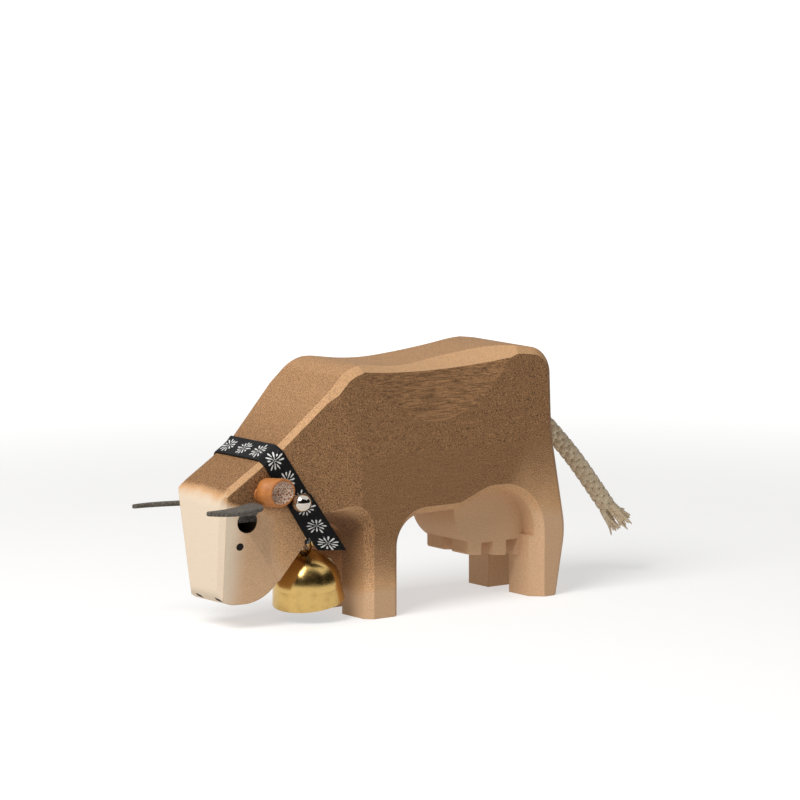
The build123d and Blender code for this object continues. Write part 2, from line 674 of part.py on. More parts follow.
def flap():
    """The ribbon's free end, lying on the left side of the band and hanging below the throat."""
    lean = math.radians(FLAP_LEAN)
    down = Vector(math.sin(lean), -math.cos(lean))
    aside = Vector(-math.cos(lean), -math.sin(lean))
    corner = ribbon_point(FLAP_DOWN, FLAP_ASIDE)
    top = Vector(corner.X, corner.Z)
    long_end = top + down * FLAP_LENGTH
    short_end = top + aside * RIBBON_WIDTH + down * (FLAP_LENGTH - FLAP_CUT)
    points = [top, long_end, short_end, top + aside * RIBBON_WIDTH]
    outline = make_face(Polyline(*[(point.X, point.Y) for point in points], close=True))
    block = extrude(Plane.XZ * outline, amount=BODY_WIDTH)
    inner = RIBBON_GAP + RIBBON_THICK / 2
    outer = RIBBON_GAP + 2 * RIBBON_THICK
    plan = []
    for x, shift in ((CHEEK_X, inner), (SHOULDER_X, inner), (SHOULDER_X, outer), (CHEEK_X, outer)):
        plan.append((x, -half_width(x) - shift))
    return block & extrude(make_face(Polyline(*plan, close=True)), amount=HIP_HEIGHT)


def stud_hole():
    """The nail's hole, through the ribbon and into the left side of the neck."""
    place = ribbon_point(STUD_DOWN, STUD_ASIDE)
    return side_hole(place.X, place.Z, STUD_SHANK + 2 * STUD_FIT, STUD_LENGTH)


def collar_ribbon():
    """The ribbon: band, gathered run under the throat and free end, with the nail hole."""
    half = RIBBON_WIDTH / 2
    ribbon = loft([band_face(-half), band_face(half)], ruled=True)
    near = gather_face(BELL_Y - GATHER_LENGTH / 2)
    far = gather_face(BELL_Y + GATHER_LENGTH / 2)
    ribbon += loft([throat_end(-1), near, far, throat_end(1)], ruled=True)
    ribbon += flap()
    return ribbon - stud_hole()


def collar_stud():
    """The ball-headed nail."""
    place = ribbon_point(STUD_DOWN, STUD_ASIDE)
    seat = -half_width(place.X) - RIBBON_GAP - 2 * RIBBON_THICK - STUD_FIT
    middle = Vector(place.X, seat - STUD_BALL / 2, place.Z)
    ball = Pos(*middle) * Sphere(STUD_BALL / 2)
    start = Plane(origin=middle, x_dir=(1, 0, 0), z_dir=(0, 1, 0))
    tip = -half_width(place.X) + STUD_LENGTH - STUD_FIT
    return ball + extrude(start * Circle(STUD_SHANK / 2), amount=tip - seat + STUD_BALL / 2)


def bell_frame(height):
    """Plane square to the bell's axis at a height above its mouth."""
    lean = math.radians(BELL_LEAN)
    tilt = math.radians(BELL_TILT)
    axis = Vector(-math.sin(lean), -math.sin(tilt), math.cos(lean) * math.cos(tilt)).normalized()
    origin = bell_pivot() + axis * (height - BELL_HEIGHT - BELL_DROP)
    return Plane(origin=origin, x_dir=(1, 0, 0), z_dir=axis)


def bell_solid(inset):
    """The bell's outer form, moved inwards by an inset, as a solid standing on its mouth."""
    mouth = BELL_MOUTH / 2 - inset
    band = mouth - BELL_BAND_DRAFT
    top = BELL_HEIGHT - inset
    shoulder = (band * BELL_SHOULDER, BELL_BAND + (top - BELL_BAND) * BELL_SHOULDER)
    dome = Spline((band, BELL_BAND), shoulder, (0, top), tangents=[(-BELL_BAND_DRAFT, BELL_BAND), (-1, 0)])
    rest = Polyline((0, top), (0, 0), (mouth, 0), (band, BELL_BAND))
    return revolve(Plane.XZ * make_face([dome, *rest.edges()]), axis=Axis.Z)


def bell_shell():
    """The spun bell with two holes in its crown for the staple."""
    shell = bell_solid(0) - bell_solid(BELL_WALL)
    hole = Cylinder(STAPLE_WIRE / 2 + STAPLE_FIT, BELL_HEIGHT)
    for x in (-STAPLE_RADIUS, STAPLE_RADIUS):
        shell -= Pos(x, 0, BELL_HEIGHT) * hole
    return bell_frame(0) * shell


def bell_loop():
    """The bent strap on the crown, its feet cut to the dome."""
    base = LOOP_BASE / 2
    top = LOOP_TOP / 2
    flare = (base - top) / LOOP_HEIGHT
    foot = base + flare * LOOP_HEIGHT
    low = BELL_HEIGHT - LOOP_HEIGHT
    high = BELL_HEIGHT + LOOP_HEIGHT
    bend = LOOP_THICK + STAPLE_FIT
    outside = FilletPolyline((-foot, low), (-top, high), (top, high), (foot, low), radius=bend)
    strip = make_face([*outside.edges(), Line((foot, low), (-foot, low))])
    inner = [(-foot + LOOP_THICK, low), (-top + LOOP_THICK, high - LOOP_THICK)]
    inner += [(-x, z) for x, z in reversed(inner)]
    strip -= make_face(Polyline(*inner, close=True))
    strap = extrude(Plane.XZ * strip, amount=LOOP_WIDTH / 2, both=True)
    return bell_frame(0) * (strap - bell_solid(0))


def staple_height():
    """Height of the middle of the staple's bow above the bell's mouth."""
    return BELL_HEIGHT - BELL_WALL - STAPLE_DROP


def clapper_staple():
    """The wire staple inside the crown, its legs up through the shell."""
    leg_top = BELL_HEIGHT + STAPLE_STUB
    bend = staple_height() + STAPLE_RADIUS
    bow = ThreePointArc((-STAPLE_RADIUS, 0, bend), (0, 0, staple_height()), (STAPLE_RADIUS, 0, bend))
    left = Line((-STAPLE_RADIUS, 0, leg_top), (-STAPLE_RADIUS, 0, bend))
    right = Line((STAPLE_RADIUS, 0, bend), (STAPLE_RADIUS, 0, leg_top))
    start = Plane(origin=(-STAPLE_RADIUS, 0, leg_top), z_dir=(0, 0, -1))
    wire = sweep(start * Circle(STAPLE_WIRE / 2), path=Wire([*left.edges(), *bow.edges(), *right.edges()]))
    return bell_frame(0) * wire


def clapper_ball_solid():
    """The round clapper ball standing in the bell, before its bore."""
    return Pos(0, 0, staple_height() - CLAPPER_LENGTH) * Sphere(CLAPPER_BALL / 2)


def bore_end():
    """Height at which the clapper rod ends inside the ball."""
    return staple_height() - CLAPPER_LENGTH + CLAPPER_BALL / 2 - CLAPPER_BORE_DEPTH


def clapper_rod():
    """The clapper's wire with the eye that hangs on the staple."""
    eye = Pos(0, 0, staple_height()) * Rot(0, 90, 0) * Torus(CLAPPER_EYE, CLAPPER_WIRE / 2)
    start = staple_height() - CLAPPER_EYE
    end = bore_end() + CLAPPER_FIT
    rod = Pos(0, 0, (start + end) / 2) * Cylinder(CLAPPER_WIRE / 2, start - end)
    return bell_frame(0) * (eye + rod)


def clapper_ball():
    """The clapper ball with the bore for its wire."""
    bore = Cylinder(CLAPPER_WIRE / 2 + CLAPPER_FIT, CLAPPER_BORE_DEPTH + CLAPPER_BALL)
    middle = bore_end() + (CLAPPER_BORE_DEPTH + CLAPPER_BALL) / 2
    return bell_frame(0) * (clapper_ball_solid() - Pos(0, 0, middle) * bore)


def tail_root():
    """The end of the tail cord glued into the rump."""
    length = TAIL_ROOT_DEPTH - TAIL_FIT + TAIL_ROOT_OUT
    return extrude(tail_plane(TAIL_FIT - TAIL_ROOT_DEPTH) * Circle(TAIL_DIAMETER / 2), amount=length)


def tail_path():
    """The centre line of the free cord, each bend as wide as its runs allow."""
    points = [tail_plane(TAIL_PIVOT_OUT).origin] + tail_route()
    runs = [second - first for first, second in zip(points, points[1:])]
    radii = [corner_round(run, following, BEND_SHARE) for run, following in zip(runs, runs[1:])]
    print("tail bend radii", [round(radius, 1) for radius in radii])
    return FilletPolyline(*points, radius=radii)


def tail_cord():
    """The free stretch of the tail, with a round start about its pivot."""
    path = tail_path()
    tube = sweep(tail_plane(TAIL_PIVOT_OUT) * Circle(TAIL_DIAMETER / 2), path=path)
    area = math.pi * TAIL_DIAMETER**2 / 4
    print("tail tube volume", round(tube.volume, 1), "section by length", round(area * path.length, 1))
    return tube + Pos(*tail_plane(TAIL_PIVOT_OUT).origin) * Sphere(TAIL_DIAMETER / 2)


def tail_tassel():
    """The frayed end of the tail, a widening brush."""
    before, end = tail_route()[-2:]
    along = (end - before).normalized()
    start = Plane(origin=end, x_dir=(0, 1, 0), z_dir=along)
    brush = loft([Circle(TAIL_DIAMETER / 2), Pos(0, 0, TASSEL_LENGTH) * Circle(TASSEL_SPREAD / 2)])
    return start * brush


os.makedirs("parts", exist_ok=True)
parts = {
    "wooden_body": wooden_body(),
    "left_horn": horn(LEFT_HORN_LIFT),
    "right_horn": mirror(horn(RIGHT_HORN_LIFT), about=Plane.XZ),
    "left_ear": ear(),
    "right_ear": mirror(ear(), about=Plane.XZ),
    "collar_ribbon": collar_ribbon(),
    "collar_stud": collar_stud(),
    "bell_shell": bell_shell(),
    "bell_loop": bell_loop(),
    "clapper_staple": clapper_staple(),
    "clapper_rod": clapper_rod(),
    "clapper_ball": clapper_ball(),
    "tail_root": tail_root(),
    "tail_cord": tail_cord(),
    "tail_tassel": tail_tassel(),
}
for name, shape in parts.items():
    export_step(shape, f"parts/{name}.step")
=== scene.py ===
import bmesh
import bpy
import numpy as np
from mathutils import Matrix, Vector


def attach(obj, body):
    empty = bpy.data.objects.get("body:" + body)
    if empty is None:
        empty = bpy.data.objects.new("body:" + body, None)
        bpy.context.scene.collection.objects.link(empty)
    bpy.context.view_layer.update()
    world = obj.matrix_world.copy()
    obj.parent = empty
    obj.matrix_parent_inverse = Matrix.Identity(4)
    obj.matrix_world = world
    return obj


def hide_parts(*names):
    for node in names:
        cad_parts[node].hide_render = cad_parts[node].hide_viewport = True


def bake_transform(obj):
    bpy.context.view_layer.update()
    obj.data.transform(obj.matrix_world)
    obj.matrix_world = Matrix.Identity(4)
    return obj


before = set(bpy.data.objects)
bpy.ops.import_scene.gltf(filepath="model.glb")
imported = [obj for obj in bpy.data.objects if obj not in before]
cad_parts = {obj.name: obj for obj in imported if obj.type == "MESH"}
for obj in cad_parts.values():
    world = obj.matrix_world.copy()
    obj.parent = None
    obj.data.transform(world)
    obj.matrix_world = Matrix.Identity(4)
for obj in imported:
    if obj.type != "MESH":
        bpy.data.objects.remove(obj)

bl_info = {
    "name": "Carved Wooden Cow",
    "version": (1, 0, 0),
    "blender": (4, 5, 0),
    "location": "View3D > Sidebar > Cow",
    "description": "Dresses a carved wooden cow with leather horns and ears, a ribbon collar, a bell and a cord tail",
    "category": "Object",
}

MM = 0.001
TURN = 2 * np.pi
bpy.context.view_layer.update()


# Arrays and meshes


def unit(rows):
    """Vectors divided by their own length, along the last axis."""
    return rows / np.linalg.norm(rows, axis=-1, keepdims=True)


def ring(count):
    """Angles of one full turn, without the repeated last one."""
    return np.arange(count) * TURN / count


def rounded_section(count, power):
    """A superellipse of half sizes 1 by 1: cosine and sine, each raised to a power and keeping its sign."""
    angle = ring(count)
    corner = np.stack([np.cos(angle), np.sin(angle)], axis=-1)
    return np.sign(corner) * np.abs(corner) ** power


def shut_ends(count):
    """Ones with a zero at each end, which close a run of rings."""
    shut = np.ones(count)
    shut[[0, -1]] = 0.0
    return shut


def grid_faces(sheets, rows, columns, wrap_rows, wrap_columns):
    """Vertex numbers of the quads of several grids, and each corner's row and column before it wraps."""
    row = np.arange(rows if wrap_rows else rows - 1)
    column = np.arange(columns if wrap_columns else columns - 1)
    sheet, row, column = np.meshgrid(np.arange(sheets), row, column, indexing="ij")
    at_row = np.stack([row, row + 1, row + 1, row], axis=-1)
    at_column = np.stack([column, column, column + 1, column + 1], axis=-1)
    corner = sheet[..., None] * rows * columns + at_row % rows * columns + at_column % columns
    return corner.reshape(-1, 4), at_row.reshape(-1, 4), at_column.reshape(-1, 4), sheet.reshape(-1)


def enclosed(points, faces):
    """Signed volume inside quads: the sum of the boxes that their triangles span with the origin, over six."""
    a, b, c, d = (points[faces[:, k]] for k in range(4))
    return (np.einsum("ij,ij", a, np.cross(b, c)) + np.einsum("ij,ij", a, np.cross(c, d))) / 6


def surface_mesh(name, grids, wrap_rows=False, wrap_columns=True, along=None, across=None, merge=True):
    """A smooth mesh from grids of points in millimetres, shape (sheets, rows, columns, 3), facing outwards.

    Rows that shrink to a point are merged, which closes the poles. The UV map holds along by row and across by
    column, and each sheet's U is shifted by 10 so that no two sheets share a place in a pattern."""
    grids = np.asarray(grids, float)
    grids = grids.reshape((-1,) + grids.shape[-3:])
    sheets, rows, columns = grids.shape[:3]
    points = grids.reshape(-1, 3) * MM
    faces, at_row, at_column, sheet = grid_faces(sheets, rows, columns, wrap_rows, wrap_columns)
    along = np.linspace(0, 1, rows + 1) if along is None else np.asarray(along, float)
    across = np.linspace(0, 1, columns + 1) if across is None else np.asarray(across, float)
    uv = np.stack([along[at_row] + 10 * sheet[:, None], across[at_column]], axis=-1)
    for number in range(sheets):
        mine = sheet == number
        if enclosed(points, faces[mine]) < 0:
            faces[mine] = faces[mine][:, ::-1]
            uv[mine] = uv[mine][:, ::-1]
    mesh = bpy.data.meshes.new(name)
    mesh.vertices.add(len(points))
    mesh.vertices.foreach_set("co", points.ravel())
    mesh.loops.add(faces.size)
    mesh.loops.foreach_set("vertex_index", faces.ravel())
    mesh.polygons.add(len(faces))
    mesh.polygons.foreach_set("loop_start", np.arange(len(faces)) * 4)
    mesh.update(calc_edges=True)
    mesh.uv_layers.new(name="UVMap").data.foreach_set("uv", uv.ravel())
    if merge:
        work = bmesh.new()
        work.from_mesh(mesh)
        bmesh.ops.remove_doubles(work, verts=work.verts, dist=1e-7)
        work.to_mesh(mesh)
        work.free()
    mesh.polygons.foreach_set("use_smooth", np.ones(len(mesh.polygons), bool))
    mesh.validate()
    return mesh


def joined(name, meshes):
    """One mesh from several, each corner keeping its UV."""
    work = bmesh.new()
    for mesh in meshes:
        work.from_mesh(mesh)
        bpy.data.meshes.remove(mesh)
    whole = bpy.data.meshes.new(name)
    work.to_mesh(whole)
    work.free()
    return whole


def show(name, mesh, finish, body, slot, *nodes):
    """Puts a mesh in the scene as a piece of the object, riding on a body and standing for CAD nodes."""
    piece = bpy.data.objects.new(name, mesh)
    bpy.context.scene.collection.objects.link(piece)
    mesh.materials.clear()
    mesh.materials.append(finish)
    if body:
        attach(piece, body)
    if nodes:
        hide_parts(*nodes)
    return piece


def dress(finish, *nodes):
    """Gives CAD nodes a finish in place of the one that they came with."""
    for name in nodes:
        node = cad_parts[name]
        node.data.materials.clear()
        node.data.materials.append(finish)


# Materials

WHITE = (1.0, 1.0, 1.0, 1.0)


class Value:
    """A number, vector or colour inside a node tree. Arithmetic on it adds nodes to the tree."""

    def __init__(self, finish, socket):
        self.finish = finish
        self.socket = socket

    def __add__(self, other):
        return self.finish.math("ADD", self, other)

    def __sub__(self, other):
        return self.finish.math("SUBTRACT", self, other)

    def __rsub__(self, other):
        return self.finish.math("SUBTRACT", other, self)

    def __mul__(self, other):
        return self.finish.math("MULTIPLY", self, other)

    def __truediv__(self, other):
        return self.finish.math("DIVIDE", self, other)

    def __abs__(self):
        return self.finish.math("ABSOLUTE", self)

    __radd__ = __add__
    __rmul__ = __mul__

    def most(self, other):
        """The larger of two values."""
        return self.finish.math("MAXIMUM", self, other)

    def ease(self, low, high, start=0.0, end=1.0):
        """The value carried smoothly from start at low to end at high."""
        return self.finish.value("MapRange", self, low, high, start, end, interpolation_type="SMOOTHSTEP")

    def parts(self):
        """The three numbers of a vector."""
        return [Value(self.finish, socket) for socket in self.finish.node("SeparateXYZ", self).outputs]

    def stretched(self, *scale):
        """A vector with each of its numbers multiplied."""
        return self.finish.value("VectorMath", self, scale, operation="MULTIPLY")

    def noise(self, scale, detail=3.0, rough=0.55):
        """Cloudy noise over a vector."""
        made = self.finish.node("TexNoise")
        self.finish.fill(made, Vector=self, Scale=scale, Detail=detail, Roughness=rough)
        return Value(self.finish, made.outputs[0])

    def cells(self, scale, feature="F1"):
        """Distances in a pattern of irregular cells over a vector."""
        made = self.finish.node("TexVoronoi", feature=feature)
        self.finish.fill(made, Vector=self, Scale=scale)
        return Value(self.finish, made.outputs["Distance"])


class Finish:
    """A material or world in the making: its node tree, its shader, and short ways to add nodes."""

    def __init__(self, name, kind="materials", shader="Principled BSDF"):
        self.owner = getattr(bpy.data, kind).new(name)
        self.owner.use_nodes = True
        self.tree = self.owner.node_tree
        self.shader = self.tree.nodes[shader]

    def put(self, target, value):
        """Links a value to an input, or sets the input to a plain number, vector or colour."""
        if isinstance(value, Value):
            self.tree.links.new(value.socket, target)
        else:
            target.default_value = value

    def fill(self, made, **values):
        """Fills a node's inputs by name, with underscores for spaces."""
        for key, value in values.items():
            self.put(made.inputs[key.replace("_", " ")], value)

    def set(self, **values):
        """Fills the shader's inputs and gives back the material or world."""
        self.fill(self.shader, **values)
        return self.owner

    def node(self, kind, *values, **settings):
        """A node with its settings, its first inputs filled in order."""
        made = self.tree.nodes.new("ShaderNode" + kind)
        for key, value in settings.items():
            setattr(made, key, value)
        for target, value in zip(made.inputs, values):
            if value is not None:
                self.put(target, value)
        return made

    def value(self, kind, *values, output=0, **settings):
        """One output of a new node."""
        return Value(self, self.node(kind, *values, **settings).outputs[output])

    def math(self, operation, *values):
        return self.value("Math", *values, operation=operation)

    def vector(self, *numbers):
        return self.value("CombineXYZ", *numbers)

    def reach(self, first, second):
        """How far two distances lead that lie square to each other."""
        return self.math("SQRT", first * first + second * second)

    def chance(self, number):
        """A value from 0 to 1 drawn for each number."""
        return self.value("TexWhiteNoise", None, number, noise_dimensions="1D")

    def blend(self, share, first, second, mode="MIX"):
        """Two colours mixed by a share."""
        made = self.node("Mix", data_type="RGBA", blend_type=mode)
        for number, value in ((0, share), (6, first), (7, second)):
            self.put(made.inputs[number], value)
        return Value(self, made.outputs[2])

    def place(self):
        """Object coordinates in millimetres."""
        return self.value("TexCoord", output="Object").stretched(1000.0, 1000.0, 1000.0)

    def uv(self):
        return self.value("UVMap", uv_map="UVMap")

    def seen(self):
        """1 on rays from the camera, off shiny surfaces and through clear ones, and 0 on all others."""
        rays = self.node("LightPath").outputs
        camera, glossy, clear = (
            Value(self, rays[f"Is {kind} Ray"]) for kind in ("Camera", "Glossy", "Transmission")
        )
        return camera.most(glossy).most(clear)

    def bump(self, height, depth, **normal):
        """A normal raised by a height from 0 to 1 over a depth in millimetres."""
        made = self.node("Bump")
        self.fill(made, Strength=1.0, Distance=depth * MM, Height=height, **normal)
        return Value(self, made.outputs[0])


def rgba(colour, share=1.0):
    """A colour setting for a node, made darker or lighter by a share."""
    return (*(min(1.0, share * part) for part in colour[:3]), 1.0)


# Settings


def tint(name, description, default):
    """A colour setting, its default given as the plain 0 to 255 numbers of a colour picker."""
    share = np.asarray(default) / 255
    linear = np.where(share <= 0.04045, share / 12.92, ((share + 0.055) / 1.055) ** 2.4)
    return bpy.props.FloatVectorProperty(
        name=name, description=description, default=tuple(linear), size=3, subtype="COLOR", min=0, max=1
    )


def size(name, description, millimetres):
    """A length setting, its default given in millimetres."""
    return bpy.props.FloatProperty(name=name, description=description, default=millimetres * MM, unit="LENGTH", min=0)


class CowWood(bpy.types.PropertyGroup):
    """Finish of the carved body."""

    pale: tint("Pale wood", "Bare sanded wood of face, feet and udder", (227, 208, 184))
    tan: tint("Thin brown", "Thin coat of brown where it fades out", (208, 163, 119))
    brown: tint("Sprayed brown", "Full coat of brown on flanks and back", (141, 104, 70))
    # This colour also serves as the painted shade in the drilled horn holes.
    paint: tint("Face paint", "Paint of the eyes and nostrils", (24, 18, 16))
    eye: size("Eye", "Diameter of a painted eye", 2.05)
    soft_edge: size("Soft edge", "Rounding of the sanded edges", 0.45)


class CowLeather(bpy.types.PropertyGroup):
    """Finish of horns and ears."""

    horn: tint("Horn leather", "Grey leather of the horns", (98, 92, 83))
    # Colour of the painted shade at the horn's root in its hole; no cut edge uses it.
    horn_root_shade: tint("Horn edge", "Dark cut edge and root of the horns", (40, 36, 31))
    ear: tint("Ear leather", "Tan outside of the ears", (176, 110, 54))
    ear_inside: tint("Ear inside", "Pale flesh side of the ear leather", (226, 200, 178))
    ear_net: tint("Ear net", "Brown net on the flesh side", (150, 96, 66))


class CowCollar(bpy.types.PropertyGroup):
    """Sizes and finish of the ribbon and its nail."""

    cloth: tint("Ribbon", "Black ground of the ribbon", (9, 9, 10))
    thread: tint("Flowers", "White thread of the woven flowers", (238, 236, 232))
    flower: size("Flower", "Diameter of a woven flower", 5.9)
    pitch: size("Pitch", "Distance from flower to flower", 6.7)
    steel: tint("Nail head", "Polished steel of the collar's nail", (200, 191, 180))


class CowBell(bpy.types.PropertyGroup):
    """Finish of the bell."""

    brass: tint("Brass", "Polished brass of bell and strap", (208, 174, 108))
    worn: tint("Dull brass", "Dull brass of the inside and of smears", (138, 104, 50))
    wire: tint("Clapper", "Steel wire and ball of the clapper", (150, 148, 144))


class CowTail(bpy.types.PropertyGroup):
    """Sizes and finish of the cord tail."""

    flax: tint("Flax", "Natural flax of the cord", (244, 226, 196))
    shade: tint("Flax shade", "Darker fibres of the cord", (196, 170, 134))
    diameter: size("Diameter", "Outside diameter of the braid", 5.2)
    lay: size("Lay", "Length in which a strand goes once round", 11.5)


class CowStage(bpy.types.PropertyGroup):
    """Floor, light and camera."""

    floor: tint("Floor", "Pale floor", (190, 189, 187))
    flag: tint("Flag", "Dark card that the polished metal mirrors", (40, 37, 33))
    world: bpy.props.FloatProperty(name="World", description="Strength of the even light", default=0.2, min=0)
    key: bpy.props.FloatProperty(name="Key", description="Power of the main lamp", default=6.3, unit="POWER", min=0)
    lens: bpy.props.FloatProperty(name="Lens", description="Focal length in millimetres", default=247.7, min=1)


GROUPS = {
    "cow_wood": CowWood,
    "cow_leather": CowLeather,
    "cow_collar": CowCollar,
    "cow_bell": CowBell,
    "cow_tail": CowTail,
    "cow_stage": CowStage,
}


# Stage

FLOOR_HALF = 9000
FLAGS = {
    "front_flag": ((-250, -620, 440), (720, -450, 0)),
    "side_flag": ((900, -640, 350), (430, 430, 0)),
}
FLAG_CLEAR = 20
KEY_PLACE, KEY_AIM, KEY_WIDE = (-518, -167, 620), (0, 0, 35), 420
CAMERA_PLACE, CAMERA_AIM = (-878.4, -1186.4, 264.8), (15.55, 0.0, 56.0)


def flat_sheet(name, middle, right, up):
    """A flat rectangle of two by two points: its middle plus or minus two half-side vectors, in millimetres."""
    sign = np.array([-1.0, 1.0])
    points = np.asarray(middle, float) + sign[:, None, None] * np.asarray(right)
    points = points + sign[None, :, None] * np.asarray(up)
    return surface_mesh(name, points, wrap_columns=False, merge=False)


def stage_piece(name, mesh, finish):
    """Puts a piece of the studio in the scene."""
    piece = bpy.data.objects.new(name, mesh)
    mesh.materials.append(finish)
    bpy.context.scene.collection.objects.link(piece)
    return piece


def white_floor(settings):
    """A pale floor that shows white to the eye and in mirrors, fully so from 600 mm away, and keeps the shadow
    under the figure."""
    paint = Finish("pale_floor")
    seen = paint.seen()
    x, y, _ = paint.place().parts()
    near, far = 180.0, 600.0
    glow = (1.0 - seen) * 0.36 + seen * paint.reach(x, y).ease(near, far, 0.56, 1.0)
    return paint.set(
        Base_Color=rgba(settings.floor),
        Roughness=0.9,
        Specular_IOR_Level=0.0,
        Emission_Color=WHITE,
        Emission_Strength=glow,
    )


def aimed(name, data, place, aim):
    """Puts a lamp or camera at a place in millimetres, turned towards a point."""
    held = bpy.data.objects.new(name, data)
    place, aim = Vector(place) * MM, Vector(aim) * MM
    held.location = place
    held.rotation_euler = (aim - place).to_track_quat("-Z", "Y").to_euler()
    bpy.context.scene.collection.objects.link(held)
    return held


class COW_OT_stage(bpy.types.Operator):
    """Sets the floor, the dark cards, the lamp, the even light and the camera"""

    bl_idname = "cow.stage"
    bl_label = "Stage"

    def execute(self, context):
        settings = context.scene.cow_stage
        ground = flat_sheet("floor", (0, 0, 0), (FLOOR_HALF, 0, 0), (0, FLOOR_HALF, 0))
        stage_piece("floor", ground, white_floor(settings))
        felt = Finish("dark_felt").set(Base_Color=rgba(settings.flag), Roughness=1.0, Specular_IOR_Level=0.0)
        for name, (middle, right) in FLAGS.items():
            card = flat_sheet(name, middle, right, (0, 0, middle[2] - FLAG_CLEAR))
            flag = stage_piece(name, card, felt)
            flag.visible_camera = flag.visible_diffuse = flag.visible_shadow = flag.visible_transmission = False
        lamp = bpy.data.lights.new("key", "AREA")
        lamp.energy = settings.key
        lamp.size = KEY_WIDE * MM
        aimed("key", lamp, KEY_PLACE, KEY_AIM)
        sky = Finish("even_light", "worlds", "Background")
        level = sky.seen().ease(0.0, 1.0, settings.world, 1.0)
        context.scene.world = sky.set(Color=WHITE, Strength=level)
        lens = bpy.data.cameras.new("camera")
        lens.lens = settings.lens
        lens.sensor_width = 36.0
        lens.clip_end = 30.0
        context.scene.camera = aimed("camera", lens, CAMERA_PLACE, CAMERA_AIM)
        context.scene.view_settings.view_transform = "Standard"
        return {"FINISHED"}


# Tail

TAIL_EXIT = np.array([56.924, 0.0, 53.7])
TAIL_OUT = np.array([0.733963, 0.0, -0.67919])
TAIL_SUNK = 2.5
TAIL_PIVOT = TAIL_EXIT + 3.4 * TAIL_OUT
TAIL_ROUTE = np.array(
    [
        TAIL_EXIT - TAIL_SUNK * TAIL_OUT,
        TAIL_PIVOT,
        [63.624, 0.0, 47.5],
        [70.024, 0.0, 41.3],
        [76.424, 0.0, 34.6],
        [82.424, 0.0, 27.3],
        [88.224, 0.0, 20.0],
    ]
)
TAIL_STEP = 0.25
STRANDS = 8
STRAND_AWAY, STRAND_WEAVE = 0.315, 0.055
STRAND_HALF_THICK, STRAND_HALF_WIDE = 0.135, 0.185
FRAY_SEED, FRAY_YARNS, FRAY_ROWS, FRAY_SIDES = 11, 6, 22, 8


def tail_line():
    """Points down the middle of the tail at even steps, and their distances from its start, read from a smooth
    spline that has the route as its control points."""
    data = bpy.data.curves.new("tail_line", "CURVE")
    data.dimensions = "3D"
    data.resolution_u = 24
    spline = data.splines.new("NURBS")
    spline.points.add(len(TAIL_ROUTE) - 1)
    weighted = np.concatenate([TAIL_ROUTE * MM, np.ones((len(TAIL_ROUTE), 1))], axis=1)
    spline.points.foreach_set("co", weighted.ravel())
    spline.order_u = 3
    spline.use_endpoint_u = True
    holder = bpy.data.objects.new("tail_line", data)
    bpy.context.scene.collection.objects.link(holder)
    bpy.context.view_layer.update()
    mesh = bpy.data.meshes.new_from_object(holder)
    points = np.empty(len(mesh.vertices) * 3)
    mesh.vertices.foreach_get("co", points)
    bpy.data.meshes.remove(mesh)
    bpy.data.objects.remove(holder)
    bpy.data.curves.remove(data)
    points = points.reshape(-1, 3) / MM
    far = np.concatenate([[0.0], np.cumsum(np.linalg.norm(np.diff(points, axis=0), axis=1))])
    step = np.linspace(0.0, far[-1], int(far[-1] / TAIL_STEP))
    return np.stack([np.interp(step, far, points[:, k]) for k in range(3)], axis=-1), step


def strand_lines(line, step, diameter, lay):
    """Middle lines of the braid's strands and the directions out of the braid.

    Half of the strands turn one way and half the other. A strand's angle grows with its length, and its distance
    from the middle rises and falls with the cosine of as many times its angle as there are strands one way, up
    where it passes over and down where it passes under."""
    across = np.array([0.0, 1.0, 0.0])
    up = np.cross(unit(np.gradient(line, axis=0)), across)
    way = np.where(np.arange(STRANDS) % 2 == 0, 1.0, -1.0)[:, None]
    half = STRANDS // 2
    angle = way * TURN * step / lay + TURN * (np.arange(STRANDS)[:, None] // 2) / half
    away = diameter * (STRAND_AWAY + STRAND_WEAVE * way * np.cos(half * angle))
    out = np.cos(angle)[..., None] * across + np.sin(angle)[..., None] * up
    return line + away[..., None] * out, out


def tube_grid(lines, out, half_out, half_side, section):
    """Rings of a section carried along lines: out and the direction square to it and to the line span each ring.
    The first and last ring shrink to a point."""
    along = unit(np.gradient(lines, axis=1))
    out = unit(out - np.sum(out * along, axis=-1, keepdims=True) * along)
    side = np.cross(along, out)
    shut = shut_ends(lines.shape[1])[:, None, None]
    wide = (half_side * section[:, 0])[..., None] * side[:, :, None] * shut
    high = (half_out * section[:, 1])[..., None] * out[:, :, None] * shut
    return lines[:, :, None] + wide + high


